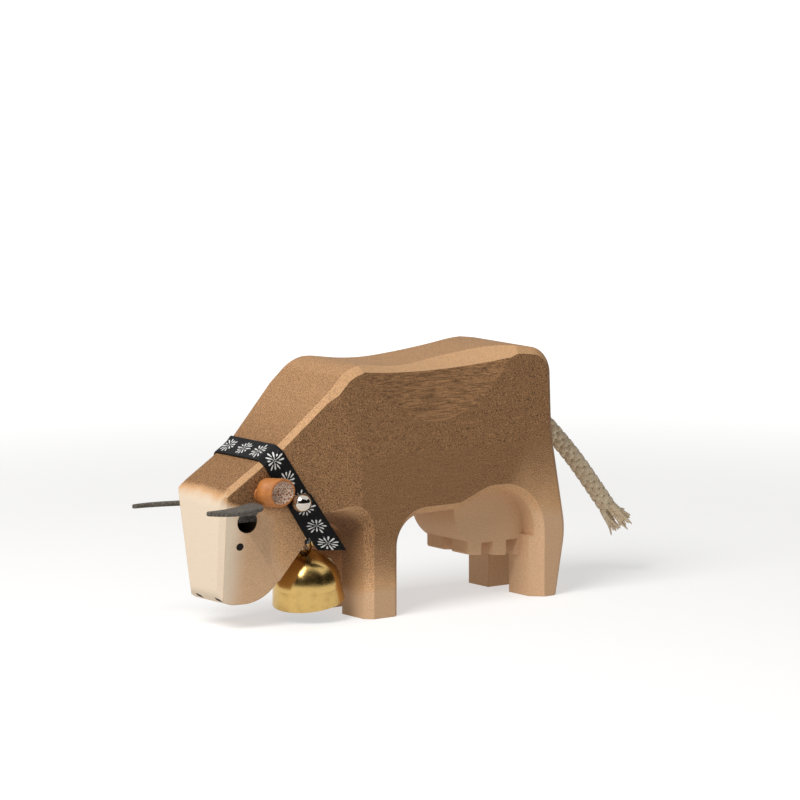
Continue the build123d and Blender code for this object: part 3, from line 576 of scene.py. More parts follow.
def fray_grid(ends, out, aim):
    """Loose yarns past the end of the braid: each leaves its strand's end, spreads outwards with a power of its
    length, drifts to its own side and wavers, and thins to a blunt tip."""
    draw = np.random.default_rng(FRAY_SEED)
    count = len(ends) * FRAY_YARNS

    def each(values):
        return np.repeat(values, FRAY_YARNS, axis=0)

    away = each(out)
    turn = draw.uniform(0, TURN, count)
    sides = np.stack([np.cross(aim, away), away], axis=1)
    shift = np.stack([np.cos(turn), np.sin(turn)], axis=1)
    shift = np.einsum("ij,ijk->ik", shift, sides) * draw.uniform(0.25, 0.62, (count, 1))
    length = each(draw.uniform(6.6, 9.0, len(ends))) + draw.uniform(-1.4, 0.9, count)
    spread = each(draw.uniform(0.8, 2.4, len(ends))) + draw.normal(0.0, 0.7, count)
    drift = each(draw.normal(0.0, 0.4, (len(ends), 3))) + draw.normal(0.0, 0.75, (count, 3))
    share = np.linspace(0, 1, FRAY_ROWS)[None, :, None]
    line = each(ends)[:, None] + aim * (share * length[:, None, None] - 0.5)
    line = line + away[:, None] * spread[:, None, None] * share**1.4 + drift[:, None] * share**2
    line = line + shift[:, None] * (1 + 0.35 * share)
    waver = np.sin(share * draw.uniform(3, 6, (count, 1, 1)) + draw.uniform(0, TURN, (count, 1, 1)))
    line = line + sides[:, :1] * 0.16 * waver * share
    thick = draw.uniform(0.36, 0.5, (count, 1)) * (1 - 0.55 * share[..., 0] ** 3)
    along = unit(np.gradient(line, axis=1))
    first = unit(np.cross(along, sides[:, :1]))
    second = np.cross(along, first)
    reach = (thick * shut_ends(FRAY_ROWS))[..., None, None]
    section = rounded_section(FRAY_SIDES, 1.0)
    return line[:, :, None] + reach * (section[:, :1] * first[:, :, None] + section[:, 1:] * second[:, :, None])


def flax(settings):
    """Twisted flax yarn: slanting fibres in two tones, painted shade in the furrows where strands meet, and fine
    raised hairs.
    """
    yarn = Finish("flax_cord")
    u, v, _ = yarn.uv().parts()
    slant = u * 0.55 + v * 2.0
    streak = yarn.vector(slant * 9.0, u * 0.5, 0.0).noise(2.2, detail=4.0, rough=0.6)
    ply = abs(yarn.math("SINE", slant * np.pi))
    patch = yarn.place().noise(0.55, detail=2.0)
    # Painted shade: a dark line down each side of every strand, where it meets its neighbours.
    furrow_shade = yarn.math("SINE", v * TURN).ease(0.5, 0.0, 0.0, 0.85)
    colour = yarn.blend(streak.ease(0.3, 0.72), rgba(settings.shade), rgba(settings.flax))
    colour = yarn.blend(patch.ease(0.5, 0.8, 0.0, 0.55), colour, rgba(settings.flax, 1.28))
    colour = yarn.blend(ply.ease(0.25, 0.0, 0.0, 0.45), colour, rgba(settings.shade))
    colour = yarn.blend(furrow_shade, colour, rgba(settings.shade, 0.42))
    height = streak * 0.45 + yarn.math("POWER", ply, 0.5) * 0.55
    return yarn.set(
        Base_Color=colour,
        Roughness=0.88,
        Specular_IOR_Level=0.25,
        Sheen_Weight=0.25,
        Sheen_Roughness=0.6,
        Normal=yarn.bump(height, 0.22),
    )


class COW_OT_tail(bpy.types.Operator):
    """Braids the tail along its route and frays its end"""

    bl_idname = "cow.tail"
    bl_label = "Cord tail"

    def execute(self, context):
        settings = context.scene.cow_tail
        diameter, lay = settings.diameter / MM, settings.lay / MM
        line, step = tail_line()
        lines, out = strand_lines(line, step, diameter, lay)
        finish = flax(settings)
        thick, wide = diameter * STRAND_HALF_THICK, diameter * STRAND_HALF_WIDE
        rings = tube_grid(lines, out, thick, wide, rounded_section(12, 0.9))
        mesh = surface_mesh("tail_braid", rings, along=np.append(step, step[-1]))
        braid = show("tail_braid", mesh, finish, None, "tail_cord", "tail_cord", "tail_root")
        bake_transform(braid)
        aim = unit(line[-1] - line[-8])
        rings = fray_grid(lines[:, -1], unit(out[:, -1] - aim * (out[:, -1] @ aim)[:, None]), aim)
        along, across = np.linspace(0, 8, FRAY_ROWS + 1), np.full(FRAY_SIDES + 1, 0.25)
        mesh = surface_mesh("tail_fray", rings, along=along, across=across)
        fray = show("tail_fray", mesh, finish, "tail", "tail_cord", "tail_tassel")
        return {"FINISHED"}


# Wood

EYE_X, EYE_Z = -45.3, 22.9
NOSTRIL_APART, NOSTRIL_HIGH, NOSTRIL_ASIDE = 4.4, 8.3, 0.87
HORN_HOLE_X, HORN_HOLE_Z, HORN_HOLE_RADIUS = -43.5, 29.6, 3.0


def brown_coat(place, facing):
    """How thick the brown lies, from 0 to 1: it grows with the distance behind the forehead and with height above
    the feet, sooner on the crown and on the forelegs, and thins on upward faces, on slanted edges and below."""
    x, y, z = place.parts()
    aside, level = abs(facing[1]), facing[2]
    drift = (place.noise(0.11, detail=2.0) - 0.5) * 7.0
    behind = x + 51.4 + drift * 0.3
    crown = z.ease(29.0, 37.0)
    head = behind.ease(crown.ease(0.0, 1.0, 1.0, -0.6), crown.ease(0.0, 1.0, 33.0, 2.6))
    chin = z.ease(2.0, 26.0, 0.5, 1.0).most(x.ease(-27.0, -20.0))
    hind = x.ease(28.0, 52.0)
    legs = (z + drift).ease(hind.ease(0.0, 1.0, -7.0, 1.0), hind.ease(0.0, 1.0, 24.0, 50.0))
    legs = legs.most(x.ease(-12.0, -18.0))
    udder = abs(y).ease(11.5, 9.2) * (x.ease(20.0, 25.0) * z.ease(33.0, 29.0)) * x.ease(54.0, 47.0)
    slant = aside.ease(0.2, 0.45) * (aside.ease(0.92, 0.8) * level.ease(0.25, 0.5))
    top = x.ease(-40.0, -18.0, 1.0, 0.74)
    thin = level.ease(0.5, 0.9, 1.0, top) * level.ease(-0.25, -0.8, 1.0, 0.6) * (1.0 - slant * 0.4)
    coat = head * chin * (legs * (1.0 - udder) * thin)
    return coat.most(behind.ease(2.0, 9.0, 0.0, 0.4))


def face_paint(wood, place, eye):
    """Where the face is painted: round eyes of a diameter on the cheeks, and short slits across the muzzle, both
    leaning to the same side."""
    x, y, z = place.parts()
    edge, radius = 0.06, eye / MM / 2
    spot = wood.reach(x - EYE_X, z - EYE_Z).ease(radius + edge, radius - edge) * abs(y).ease(5.0, 5.5)
    across = y + NOSTRIL_ASIDE
    out = abs(across) - NOSTRIL_APART
    lean = out * wood.math("SIGN", across) * -0.23
    down = abs(z - NOSTRIL_HIGH + lean)
    slit = down.ease(0.5, 0.38) * abs(out).ease(1.2, 1.0)
    return spot.most(slit * x.ease(-45.0, -46.0))


def sprayed_wood(settings):
    """Fine pale hardwood under sprayed brown, speckled by its pores, streaked where a hollow cuts the grain, worn
    pale along its edges, with painted shade in the drilled horn holes, and with a painted face."""
    wood = Finish("sprayed_wood")
    place = wood.place()
    shape = wood.value("NewGeometry", output="True Normal")
    facing = shape.parts()
    level = facing[2]
    brown = brown_coat(place, facing)

    pore = place.stretched(1.0, 1.0, 0.6).noise(2.0, rough=0.7)
    speck = place.stretched(1.0, 1.0, 0.7).noise(6.2, detail=1.0, rough=0.5)
    layer = place.stretched(0.09, 1.2, 1.6).noise(1.9, rough=0.7)
    hollow = level.ease(0.12, 0.22) * level.ease(0.42, 0.32)
    fine = speck.ease(0.34, 0.66, -0.98, 0.98) + pore.ease(0.3, 0.7, -0.16, 0.16)
    lined = layer.ease(0.36, 0.64, -0.6, 0.6)
    grain = fine * hollow.ease(0.0, 1.0, 1.0, 0.6) + lined * hollow.ease(0.0, 1.0, 0.12, 0.9)
    share = brown + grain * brown.ease(0.4, 0.9, 0.01, 0.06)
    thin = wood.value("Clamp", share * 2.0, 0.0, 1.0)
    thick = wood.value("Clamp", share * 2.0 - 1.0, 0.0, 1.0)
    colour = wood.blend(thin, rgba(settings.pale), rgba(settings.tan))
    colour = wood.blend(thick, colour, rgba(settings.brown))
    shine = 1.0 + grain * brown.ease(0.2, 1.0, 0.05, 0.75)
    colour = wood.blend(1.0, colour, wood.vector(shine, shine, shine), "MULTIPLY")

    soft = wood.value("Bevel", settings.soft_edge, samples=6)
    same = wood.value("VectorMath", soft, shape, operation="DOT_PRODUCT", output=1)
    worn = same.ease(0.985, 0.9) * pore.ease(0.35, 0.6)
    colour = wood.blend(worn * 0.3, colour, rgba(settings.tan))
    x, _, z = place.parts()
    # Painted shade: the drilled horn holes are coloured nearly black with the face paint, standing in for the shadow
    # inside them.
    far = wood.reach(x - HORN_HOLE_X, z - HORN_HOLE_Z)
    hole_shade = far.ease(HORN_HOLE_RADIUS + 0.08, HORN_HOLE_RADIUS + 0.02, 0.0, 0.93)
    colour = wood.blend(hole_shade.most(face_paint(wood, place, settings.eye)), colour, rgba(settings.paint))
    height = pore * 0.6 + layer * hollow.ease(0.0, 1.0, 0.2, 0.7)
    return wood.set(
        Base_Color=colour,
        Roughness=pore.ease(0.2, 0.8, 0.66, 0.78),
        Specular_IOR_Level=0.2,
        Normal=wood.bump(height, 0.07, Normal=soft),
    )


class COW_OT_wood(bpy.types.Operator):
    """Finishes the carved wooden body"""

    bl_idname = "cow.wood"
    bl_label = "Wooden body"

    def execute(self, context):
        dress(sprayed_wood(context.scene.cow_wood), "wooden_body")
        return {"FINISHED"}


# Horns and ears

HALF_HEAD = 11.2
HORN_ROOT = (-43.5, -11.35, 29.6)
HORN_TIP_X = -60.9
HORN_LIFT = {"left_horn": 4.7, "right_horn": 2.3}
HORN_HALF_THICK = 0.7
BLADE_ROWS, CAP_ROWS = 48, 12


def spin(points, x_degrees, y_degrees):
    """Points turned about Y and then about X."""
    a, b = np.radians([x_degrees, y_degrees])
    about_x = np.array([[1, 0, 0], [0, np.cos(a), -np.sin(a)], [0, np.sin(a), np.cos(a)]])
    about_y = np.array([[np.cos(b), 0, np.sin(b)], [0, 1, 0], [-np.sin(b), 0, np.cos(b)]])
    return points @ (about_x @ about_y).T


def horn_blade(lift):
    """The flat crescent of a left horn: sections between two bowed edges, which meet in a half ellipse at the
    butt and in a blunt point. Each edge is a straight line plus a parabola, each section a superellipse."""
    u = np.linspace(0, 1, BLADE_ROWS)[:, None]
    root = np.array(HORN_ROOT)
    inner = np.array([root[0], root[1], 0.0])
    outer = np.array([root[0] - 2.4, root[1] - 7.0, 0.0])
    tip_inner = np.array([HORN_TIP_X + 0.9, root[1] - 5.15, 0.0])
    tip_outer = np.array([HORN_TIP_X + 0.9, root[1] - 6.75, 0.0])
    bow = 4 * u * (1 - u) * np.array([0.0, -1.0, 0.0])
    first = inner * (1 - u) + tip_inner * u + 1.2 * bow
    second = outer * (1 - u) + tip_outer * u + 2.2 * bow
    turn = np.linspace(0, np.pi / 2, CAP_ROWS)[:, None]
    middle, half = (inner + outer) / 2, (inner - outer) / 2
    butt = np.array([root[0] + 2.4, root[1] - 3.5, 0.0]) - middle
    back = middle + butt * np.cos(turn)
    nose = (tip_inner + tip_outer) / 2 + np.array([-0.9, 0.0, 0.0]) * np.sin(turn)
    centre = np.concatenate([back[:-1], (first + second) / 2, nose[1:]])
    blunt = np.array([0, 0.8, 0]) * np.cos(turn)
    reach = np.concatenate([half * np.sin(turn)[:-1], (first - second) / 2, blunt[1:]])
    edge = np.concatenate([np.sin(turn)[:-1], np.ones((BLADE_ROWS, 1)), np.cos(turn)[1:]])
    taper = np.concatenate([np.ones(CAP_ROWS - 1), 1 - 0.15 * u[:, 0] ** 2, np.full(CAP_ROWS - 1, 0.85)])
    thick = HORN_HALF_THICK * edge**0.3 * taper[:, None]
    section = rounded_section(28, 0.5)
    grid = centre[:, None] + reach[:, None] * section[:, :1]
    grid = grid + thick[:, None] * section[:, 1:] * np.array([0, 0, 1.0])
    curl = 0.35 * ((grid[..., 0] - root[0]) / 18.0) ** 2
    grid[..., 2] = grid[..., 2] - curl
    hinge = np.array([root[0], root[1], 0.0])
    return spin(grid - hinge, 7.0, 3.0) + hinge + np.array([0, 0, root[2] + lift])


def horn_root(lift):
    """The rolled tab of a left horn: a half disc in the hole's upper half, carried straight into the head, and
    the strip that rises from it to the blade."""
    turn = np.linspace(-0.06, np.pi + 0.06, 22)
    outside = np.stack([np.cos(turn), np.sin(turn)], axis=-1) * 2.9
    inside = np.stack([np.cos(turn[::-1]), np.sin(turn[::-1])], axis=-1) * 0.3
    profile = np.concatenate([outside, inside])
    core = profile.mean(axis=0)
    depth = np.array([-0.6, -0.6, -0.59, -0.3, 1.0, 3.0, 5.0, 7.3, 7.3])
    shrink = np.array([0.0, 0.85, 0.93, 1.0, 1.0, 1.0, 1.0, 1.0, 0.0])
    ring_points = core + (profile - core) * shrink[:, None, None]
    ring_points = np.clip(ring_points, [-2.94, 0.02], [2.94, 2.94])
    roll = np.empty(ring_points.shape[:2] + (3,))
    roll[..., 0] = HORN_ROOT[0] + ring_points[..., 0]
    roll[..., 1] = -HALF_HEAD + depth[:, None]
    roll[..., 2] = HORN_ROOT[2] + ring_points[..., 1]
    section = rounded_section(20, 0.4)
    rise = np.array([1.9, 1.9, 2.4, lift - 0.4, lift + 0.1, lift + 0.1])
    shut = np.array([0.0, 0.9, 1.0, 1.0, 0.9, 0.0])
    web = np.empty((len(rise), 20, 3))
    web[..., 0] = HORN_ROOT[0] + 2.2 * section[:, 0] * shut[:, None]
    web[..., 1] = HORN_ROOT[1] - 0.95 + 0.8 * section[:, 1] * shut[:, None]
    web[..., 2] = HORN_ROOT[2] + rise[:, None]
    return roll, web


def other_side(grid):
    """A grid mirrored to the cow's right side."""
    return grid * np.array([1.0, -1.0, 1.0])


def horn_leather(settings):
    """Thick grey leather: mottled nap with pale flecks, and painted shade at the root, where it meets the head and
    goes into its hole.
    """
    hide = Finish("horn_leather")
    place = hide.place()
    clear = abs(place.parts()[1]).ease(11.5, 12.8)
    nap = place.noise(1.9, detail=4.0, rough=0.65)
    fleck = place.cells(1.8)
    colour = hide.blend(nap.ease(0.36, 0.64), rgba(settings.horn, 0.45), rgba(settings.horn))
    colour = hide.blend(fleck.ease(0.45, 0.12, 0.0, 0.7), colour, rgba(settings.horn, 1.75))
    # Painted shade: the leather is darkened where the horn meets the head and goes into its hole.
    root = hide.blend(nap.ease(0.4, 0.75, 0.0, 0.4), rgba(settings.horn_root_shade), colour)
    return hide.set(
        Base_Color=hide.blend(clear, root, colour),
        Roughness=0.82,
        Specular_IOR_Level=0.3,
        Sheen_Weight=0.12,
        Normal=hide.bump(nap * 0.7 + fleck * 0.4, 0.16),
    )


class COW_OT_horns(bpy.types.Operator):
    """Cuts the two leather horns and rolls their tabs"""

    bl_idname = "cow.horns"
    bl_label = "Leather horns"

    def execute(self, context):
        finish = horn_leather(context.scene.cow_leather)
        for name, lift in HORN_LIFT.items():
            grids = (horn_blade(lift), *horn_root(lift))
            if name == "right_horn":
                grids = tuple(other_side(grid) for grid in grids)
            meshes = [surface_mesh(f"{name}_{number}", grid) for number, grid in enumerate(grids)]
            show(f"{name}_leather", joined(name, meshes), finish, "cow", "horn_leather", name)
        return {"FINISHED"}


EAR_FOOT = np.array([-40.4, -11.05, 37.4])
EAR_SWEEP, EAR_RISE, EAR_CUT = np.radians([47.0, -2.0, 38.0])
EAR_WIDE = 3.75
EAR_HOLE, EAR_PEG_RADIUS = (-39.3, 36.6), 2.1


def half_width(x):
    """Half the wood's width at a station: a straight taper from shoulder to cheek."""
    return np.interp(x, [-36.0, -9.5], [11.2, 16.6])


def ear_cup():
    """A left ear: a dome that rises from its foot as a superellipse and then runs straight to a slanted mouth, a
    rolled rim, and a bowl inside that deepens with the square of the distance from the rim."""
    turn = ring(56)
    wave = 1 + 0.035 * np.cos(2 * turn + 0.6) + 0.02 * np.sin(3 * turn)
    lip = np.clip(6.9 - 3.4 * np.sin(turn) * np.tan(EAR_CUT), 4.0, 9.7)
    rise = 1 - np.cos(np.linspace(0, np.pi / 2, 26))
    up = rise[:, None] * lip
    wide = EAR_WIDE * (1 - (1 - np.minimum(up / 3.0, 1.0)) ** 2.2) ** (1 / 2.2) * wave
    rim = wide[-1]
    roll = np.linspace(0.25, 1.0, 8)[:, None] * np.pi
    edge_wide = rim - 0.4 + 0.4 * np.cos(roll)
    edge_up = lip + 0.34 * np.sin(roll)
    fall = np.linspace(1, 0, 16)[1:, None]
    bowl_wide = fall * (rim - 0.8)
    bowl_up = lip.mean() + (lip - lip.mean()) * fall - 1.5 * (1 - fall**2)
    far = np.concatenate([wide, edge_wide, bowl_wide])
    high = np.concatenate([up, edge_up, bowl_up])
    level = np.cos(EAR_RISE)
    along = np.array([np.sin(EAR_SWEEP) * level, -np.cos(EAR_SWEEP) * level, np.sin(EAR_RISE)])
    first = unit(np.array([0.0, 0.0, 1.0]) - along * along[2])
    second = np.cross(along, first)
    grid = EAR_FOOT + far[..., None] * (np.cos(turn)[:, None] * first + np.sin(turn)[:, None] * second)
    grid = grid + high[..., None] * along
    clear = np.interp(grid[..., 0], [-36.5, -34.5], [0.25, 1.05])
    grid[..., 1] = np.minimum(grid[..., 1], -half_width(grid[..., 0]) - clear)
    return grid


def ear_peg():
    """The ear's root: a round tab carried from the cup's foot into its hole."""
    turn = ring(28)
    depth = np.array([-0.3, -0.3, -0.1, 0.2, 2.0, 6.4, 6.4])
    shrink = np.array([0.0, 0.8, 1.0, 1.0, 1.0, 1.0, 0.0])
    grid = np.empty((len(depth), 28, 3))
    grid[..., 0] = EAR_HOLE[0] + EAR_PEG_RADIUS * np.cos(turn) * shrink[:, None]
    grid[..., 1] = -HALF_HEAD + depth[:, None]
    grid[..., 2] = EAR_HOLE[1] + EAR_PEG_RADIUS * np.sin(turn) * shrink[:, None]
    return grid


def ear_leather(settings):
    """Tan leather, smooth and streaked outside, and a pale flesh side with a brown net inside the mouth."""
    hide = Finish("ear_leather")
    place = hide.place()
    inside = hide.uv().parts()[0].ease(0.64, 0.68)
    tone = place.noise(0.5)
    wrinkle = place.stretched(1.0, 1.0, 0.35).noise(2.2, detail=4.0, rough=0.6)
    tan = hide.blend(tone.ease(0.3, 0.75), rgba(settings.ear), rgba(settings.ear, 1.25))
    tan = hide.blend(wrinkle.ease(0.5, 0.8, 0.0, 0.4), tan, rgba(settings.ear, 0.55))
    shake = hide.vector(tone, wrinkle, tone).stretched(0.7, 0.7, 0.7)
    net = hide.value("VectorMath", place, shake, operation="ADD").cells(1.5, "DISTANCE_TO_EDGE")
    flesh = hide.blend(net.ease(0.03, 0.2), rgba(settings.ear_inside), rgba(settings.ear_net))
    height = hide.blend(inside, wrinkle, net.ease(0.02, 0.3))
    return hide.set(
        Base_Color=hide.blend(inside, tan, flesh),
        Roughness=inside.ease(0.0, 1.0, 0.5, 0.85),
        Specular_IOR_Level=0.4,
        Normal=hide.bump(height, 0.14),
    )


class COW_OT_ears(bpy.types.Operator):
    """Folds the two leather ears"""

    bl_idname = "cow.ears"
    bl_label = "Leather ears"

    def execute(self, context):
        finish = ear_leather(context.scene.cow_leather)
        for name in ("left_ear", "right_ear"):
            grids = (ear_cup(), ear_peg())
            if name == "right_ear":
                grids = tuple(other_side(grid) for grid in grids)
            cup = surface_mesh(f"{name}_cup", grids[0], along=np.linspace(0, 1, 50))
            peg = surface_mesh(f"{name}_peg", grids[1], along=np.zeros(8))
            show(f"{name}_leather", joined(name, [cup, peg]), finish, "cow", "ear_leather", name)
        return {"FINISHED"}


# Collar

RIBBON_WIDE, RIBBON_THICK, RIBBON_GAP = 6.6, 0.45, 0.3
NECK_BEVEL = 1.6
NAPE = np.array([-34.5, 0.0, 47.7])
RIBBON_DOWN = np.array([0.512000, 0.0, -0.858985])
RIBBON_ACROSS = np.array([0.858985, 0.0, 0.512000])
RIBBON_MIDDLE = np.array([-36.0, 0.0, 46.7858])
THROAT_CENTRE = np.array([-18.695, 0.0, 22.695])
THROAT_ROUND = 7.5
THROAT_OUT = np.array([0.802190, 0.0, -0.597069])
BELL_PIVOT = np.array([-21.8915, -6.2, 21.4432])
GATHER = (1.6, 0.9, 4.6)
FLAP_TOP = np.array([-25.287, 0.0, 35.942])
FLAP_LEAN = np.radians(32.5)
FLAP_LONG, FLAP_CUT, FLAP_ROWS = 19.0, 4.8, 60
RIBBON_COLUMNS, RIBBON_STEP = 15, 0.3
BAND_SHIFT, FLAP_SHIFT = 1.8, 0.4
PETALS = 12
WEFT_APART, WARP_APART = 0.24, 0.3


def ribbon_rows(offset, layer):
    """The ribbon's corner points round the neck and under the throat, for edge offsets across it and a layer from
    0 at the neck to 1 at its outside. Shape (8, offsets, 3): left throat, up over the bevelled neck to the right
    throat, and back through the gathers that carry the bell."""
    past = offset - RIBBON_ACROSS @ (NAPE - RIBBON_MIDDLE)
    slope = np.where(past < 0, 0.609467, 0.907950)
    top_x = NAPE[0] + past / (RIBBON_ACROSS[0] + RIBBON_ACROSS[2] * slope)
    top = np.stack([top_x, np.zeros_like(top_x), NAPE[2] + (top_x - NAPE[0]) * slope], axis=-1)
    down = (THROAT_CENTRE - top) @ RIBBON_DOWN
    aside = np.linalg.norm(THROAT_CENTRE - top - down[:, None] * RIBBON_DOWN, axis=-1)
    low = top + (down - np.sqrt(THROAT_ROUND**2 - aside**2))[:, None] * RIBBON_DOWN
    lift = RIBBON_GAP + RIBBON_THICK * layer
    bevel = NECK_BEVEL / (RIBBON_DOWN[0] * slope - RIBBON_DOWN[2])
    out = np.array([0.0, 1.0, 0.0])
    side = (half_width(low[:, 0]) + lift)[:, None] * out
    upper = (half_width(top[:, 0]) + lift)[:, None] * out
    shoulder = top + (bevel - 0.4 * lift)[:, None] * RIBBON_DOWN
    crest = (half_width(top[:, 0]) - NECK_BEVEL + 0.4 * lift)[:, None] * out
    ridge = top - lift * RIBBON_DOWN
    throat = low + THROAT_OUT * lift
    wide, thick, long = GATHER
    fold_x = BELL_PIVOT[0] + wide * offset / RIBBON_WIDE
    fold = np.stack([fold_x, 0 * offset, 0 * offset + BELL_PIVOT[2]], axis=-1)
    fold = fold + np.array([0.0, 0.0, thick * (0.5 - layer)])
    near = fold + np.array([0.0, BELL_PIVOT[1] - long / 2, 0.0])
    far = fold + np.array([0.0, BELL_PIVOT[1] + long / 2, 0.0])
    rows = [throat - side, shoulder - upper, ridge - crest, ridge + crest, shoulder + upper, throat + side, far, near]
    return np.stack(rows)


def smoothed(rows, width):
    """A closed run of rows averaged over a bell-shaped window, which rounds its corners."""
    weight = np.hanning(2 * width + 3)[1:-1]
    weight = weight / weight.sum()
    shifts = np.arange(-width, width + 1)
    return sum(share * np.roll(rows, shift, axis=0) for share, shift in zip(weight, shifts))


def ribbon_band():
    """The closed band: straight runs between the corner rows, 0.3 mm apart and then rounded, the outside and the
    inside layer joined edge to edge."""
    offset = np.linspace(-RIBBON_WIDE / 2, RIBBON_WIDE / 2, RIBBON_COLUMNS)
    outer, inner = ribbon_rows(offset, 1.0), ribbon_rows(offset[::-1], 0.0)
    rows = np.concatenate([outer, inner], axis=1)
    ends = np.roll(rows, -1, axis=0)
    middle = RIBBON_COLUMNS // 2
    long = np.linalg.norm(ends[:, middle] - rows[:, middle], axis=-1)
    steps = np.maximum((long / RIBBON_STEP).astype(int), 2)
    which = np.repeat(np.arange(8), steps)
    share = np.concatenate([np.arange(count) / count for count in steps])[:, None, None]
    run = smoothed(rows[which] * (1 - share) + ends[which] * share, 3)
    ruck = 0.10 * np.sin(np.linspace(0, 5 * TURN, len(which), endpoint=False))
    lower = np.isin(which, (5, 7))[:, None]
    run[..., 2] = run[..., 2] + lower * ruck[:, None] * np.sin(np.linspace(0, TURN, 2 * RIBBON_COLUMNS))
    step = np.linalg.norm(np.diff(run[:, middle], axis=0, append=run[:1, middle]), axis=-1)
    along = np.concatenate([[0.0], np.cumsum(step)]) + BAND_SHIFT
    there = np.linspace(0, 1, RIBBON_COLUMNS)
    across = np.concatenate([there, there[::-1], [0.0]])
    return run, along, across


def ribbon_flap():
    """The free end on the left side: a strip that leans back as it hangs, lies on the tapering neck, lifts a little
    towards its slanted cut, and has the ribbon's thickness."""
    down = np.array([np.sin(FLAP_LEAN), 0.0, -np.cos(FLAP_LEAN)])
    aside = np.array([-np.cos(FLAP_LEAN), 0.0, -np.sin(FLAP_LEAN)])
    there = np.linspace(0, 1, RIBBON_COLUMNS)
    v = np.concatenate([there, there[::-1]])
    layer = np.repeat([1.0, 0.0], RIBBON_COLUMNS)
    u = np.concatenate([[0.0], np.linspace(0, 1, FLAP_ROWS), [1.0]])[:, None]
    long = FLAP_LONG - FLAP_CUT * v
    at = FLAP_TOP + (u * long)[..., None] * down + (RIBBON_WIDE * v)[:, None] * aside
    curl = 0.9 * np.clip(u - 0.55, 0, None) ** 2 * (1 + 0.4 * v)
    deep = 0.5 + (layer - 0.5) * shut_ends(len(u))[:, None]
    at[..., 1] = -half_width(at[..., 0]) - RIBBON_GAP - RIBBON_THICK * (1.06 + 0.9 * deep) - curl
    along = np.concatenate([u[:, 0] * FLAP_LONG, [FLAP_LONG]]) + FLAP_SHIFT
    return at, along, np.append(v, 0.0)


def flower_ribbon(settings):
    """Black woven ribbon with a row of white flowers: short strokes round a middle, starting near and far in turn,
    each flower turned by its own amount, over a fine cross weave."""
    cloth = Finish("flower_ribbon")
    u, v, _ = cloth.uv().parts()
    pitch, reach = settings.pitch / MM, settings.flower / MM / 2
    cell = cloth.math("FLOOR", u / pitch)
    a = u - (cell + 0.5) * pitch
    b = (v - 0.5) * RIBBON_WIDE
    far = cloth.reach(a, b)
    angle = cloth.math("ARCTAN2", b, a) + cloth.chance(cell) * 6.28
    turn = angle * (PETALS / TURN)
    number = cloth.math("FLOOR", turn)
    off = cloth.math("FRACT", turn) - 0.5
    odd = abs(cloth.math("MODULO", number, 2.0))
    aside = abs(off * (TURN / PETALS) * far)
    start = 0.6 + odd * 0.6
    end = reach - cloth.chance(number + cell * 17.0)
    stroke = (far - start) / (end - start)
    thick = stroke.ease(0.0, 0.6, 0.1, 0.23) * stroke.ease(1.02, 0.85)
    thick = thick * cloth.math("GREATER_THAN", stroke, 0.0)
    petal = (thick - aside).ease(-0.03, 0.05)
    dotted = cloth.math("GREATER_THAN", cloth.math("SINE", angle * 5.0), 0.1)
    seed = abs(far - 0.36).ease(0.16, 0.08) * dotted
    inside = far.ease(reach + 0.1, reach - 0.05) * (v.ease(0.03, 0.07) * v.ease(0.97, 0.93))
    white = petal.most(seed) * inside
    weft = cloth.math("SINE", u * (TURN / WEFT_APART))
    warp = cloth.math("SINE", v * (TURN * RIBBON_WIDE / WARP_APART))
    weave = (weft + warp) * 0.25
    selvage = v.ease(0.06, 0.03).most(v.ease(0.94, 0.97))
    grey = rgba(settings.cloth, 2.4)
    ground = cloth.blend(weave.ease(-0.2, 0.5, 0.0, 0.55), rgba(settings.cloth), grey)
    ground = cloth.blend(selvage * 0.4, ground, grey)
    thread = cloth.blend(weave.ease(-0.4, 0.4), rgba(settings.thread, 0.75), rgba(settings.thread))
    return cloth.set(
        Base_Color=cloth.blend(white, ground, thread),
        Roughness=0.62,
        Specular_IOR_Level=0.16,
        Normal=cloth.bump(weave * 0.6 + white * 0.8, 0.05),
    )


def polished_steel(settings):
    """Bright plated steel with faint round scratches."""
    steel = Finish("polished_steel")
    scratch = steel.place().stretched(0.6, 6.0, 0.6).noise(3.0, detail=4.0)
    colour = steel.blend(scratch.ease(0.4, 0.8, 0.0, 0.25), rgba(settings.steel), rgba(settings.steel, 0.7))
    return steel.set(Base_Color=colour, Metallic=1.0, Roughness=scratch.ease(0.3, 0.8, 0.06, 0.16))


class COW_OT_collar(bpy.types.Operator):
    """Lays the flowered ribbon round the neck and finishes its nail"""

    bl_idname = "cow.collar"
    bl_label = "Ribbon collar"

    def execute(self, context):
        settings = context.scene.cow_collar
        band, along, across = ribbon_band()
        loop = surface_mesh("ribbon_band", band, wrap_rows=True, along=along, across=across)
        flap, flap_along, flap_across = ribbon_flap()
        end = surface_mesh("ribbon_flap", flap, along=flap_along, across=flap_across)
        show("ribbon", joined("ribbon", [loop, end]), flower_ribbon(settings), "cow", "ribbon", "collar_ribbon")
        dress(polished_steel(settings), "collar_stud")
        return {"FINISHED"}


# Bell

BELL_MOUTH = np.array([-19.1024, -5.0212, 4.8167])
BELL_UP = np.array([-0.165037, -0.069752, 0.983818])
BELL_RIGHT = np.array([0.986287, -0.011672, 0.164623])
BELL_AHEAD = np.cross(BELL_UP, BELL_RIGHT)
BELL_WIDE, BELL_HIGH, BELL_BAND, BELL_WALL = 9.8, 14.6, 4.8, 0.7
BAND_TAPER, RIM_LIFT, STRAP_ROWS = 0.5, 0.3, 60
STRAP_HALF_THICK, STRAP_HALF_WIDE = 0.3, 1.2


def bell_points(right, ahead, up):
    """Points from distances along the bell's own three directions."""
    return BELL_MOUTH + right[..., None] * BELL_RIGHT + ahead[..., None] * BELL_AHEAD + up[..., None] * BELL_UP


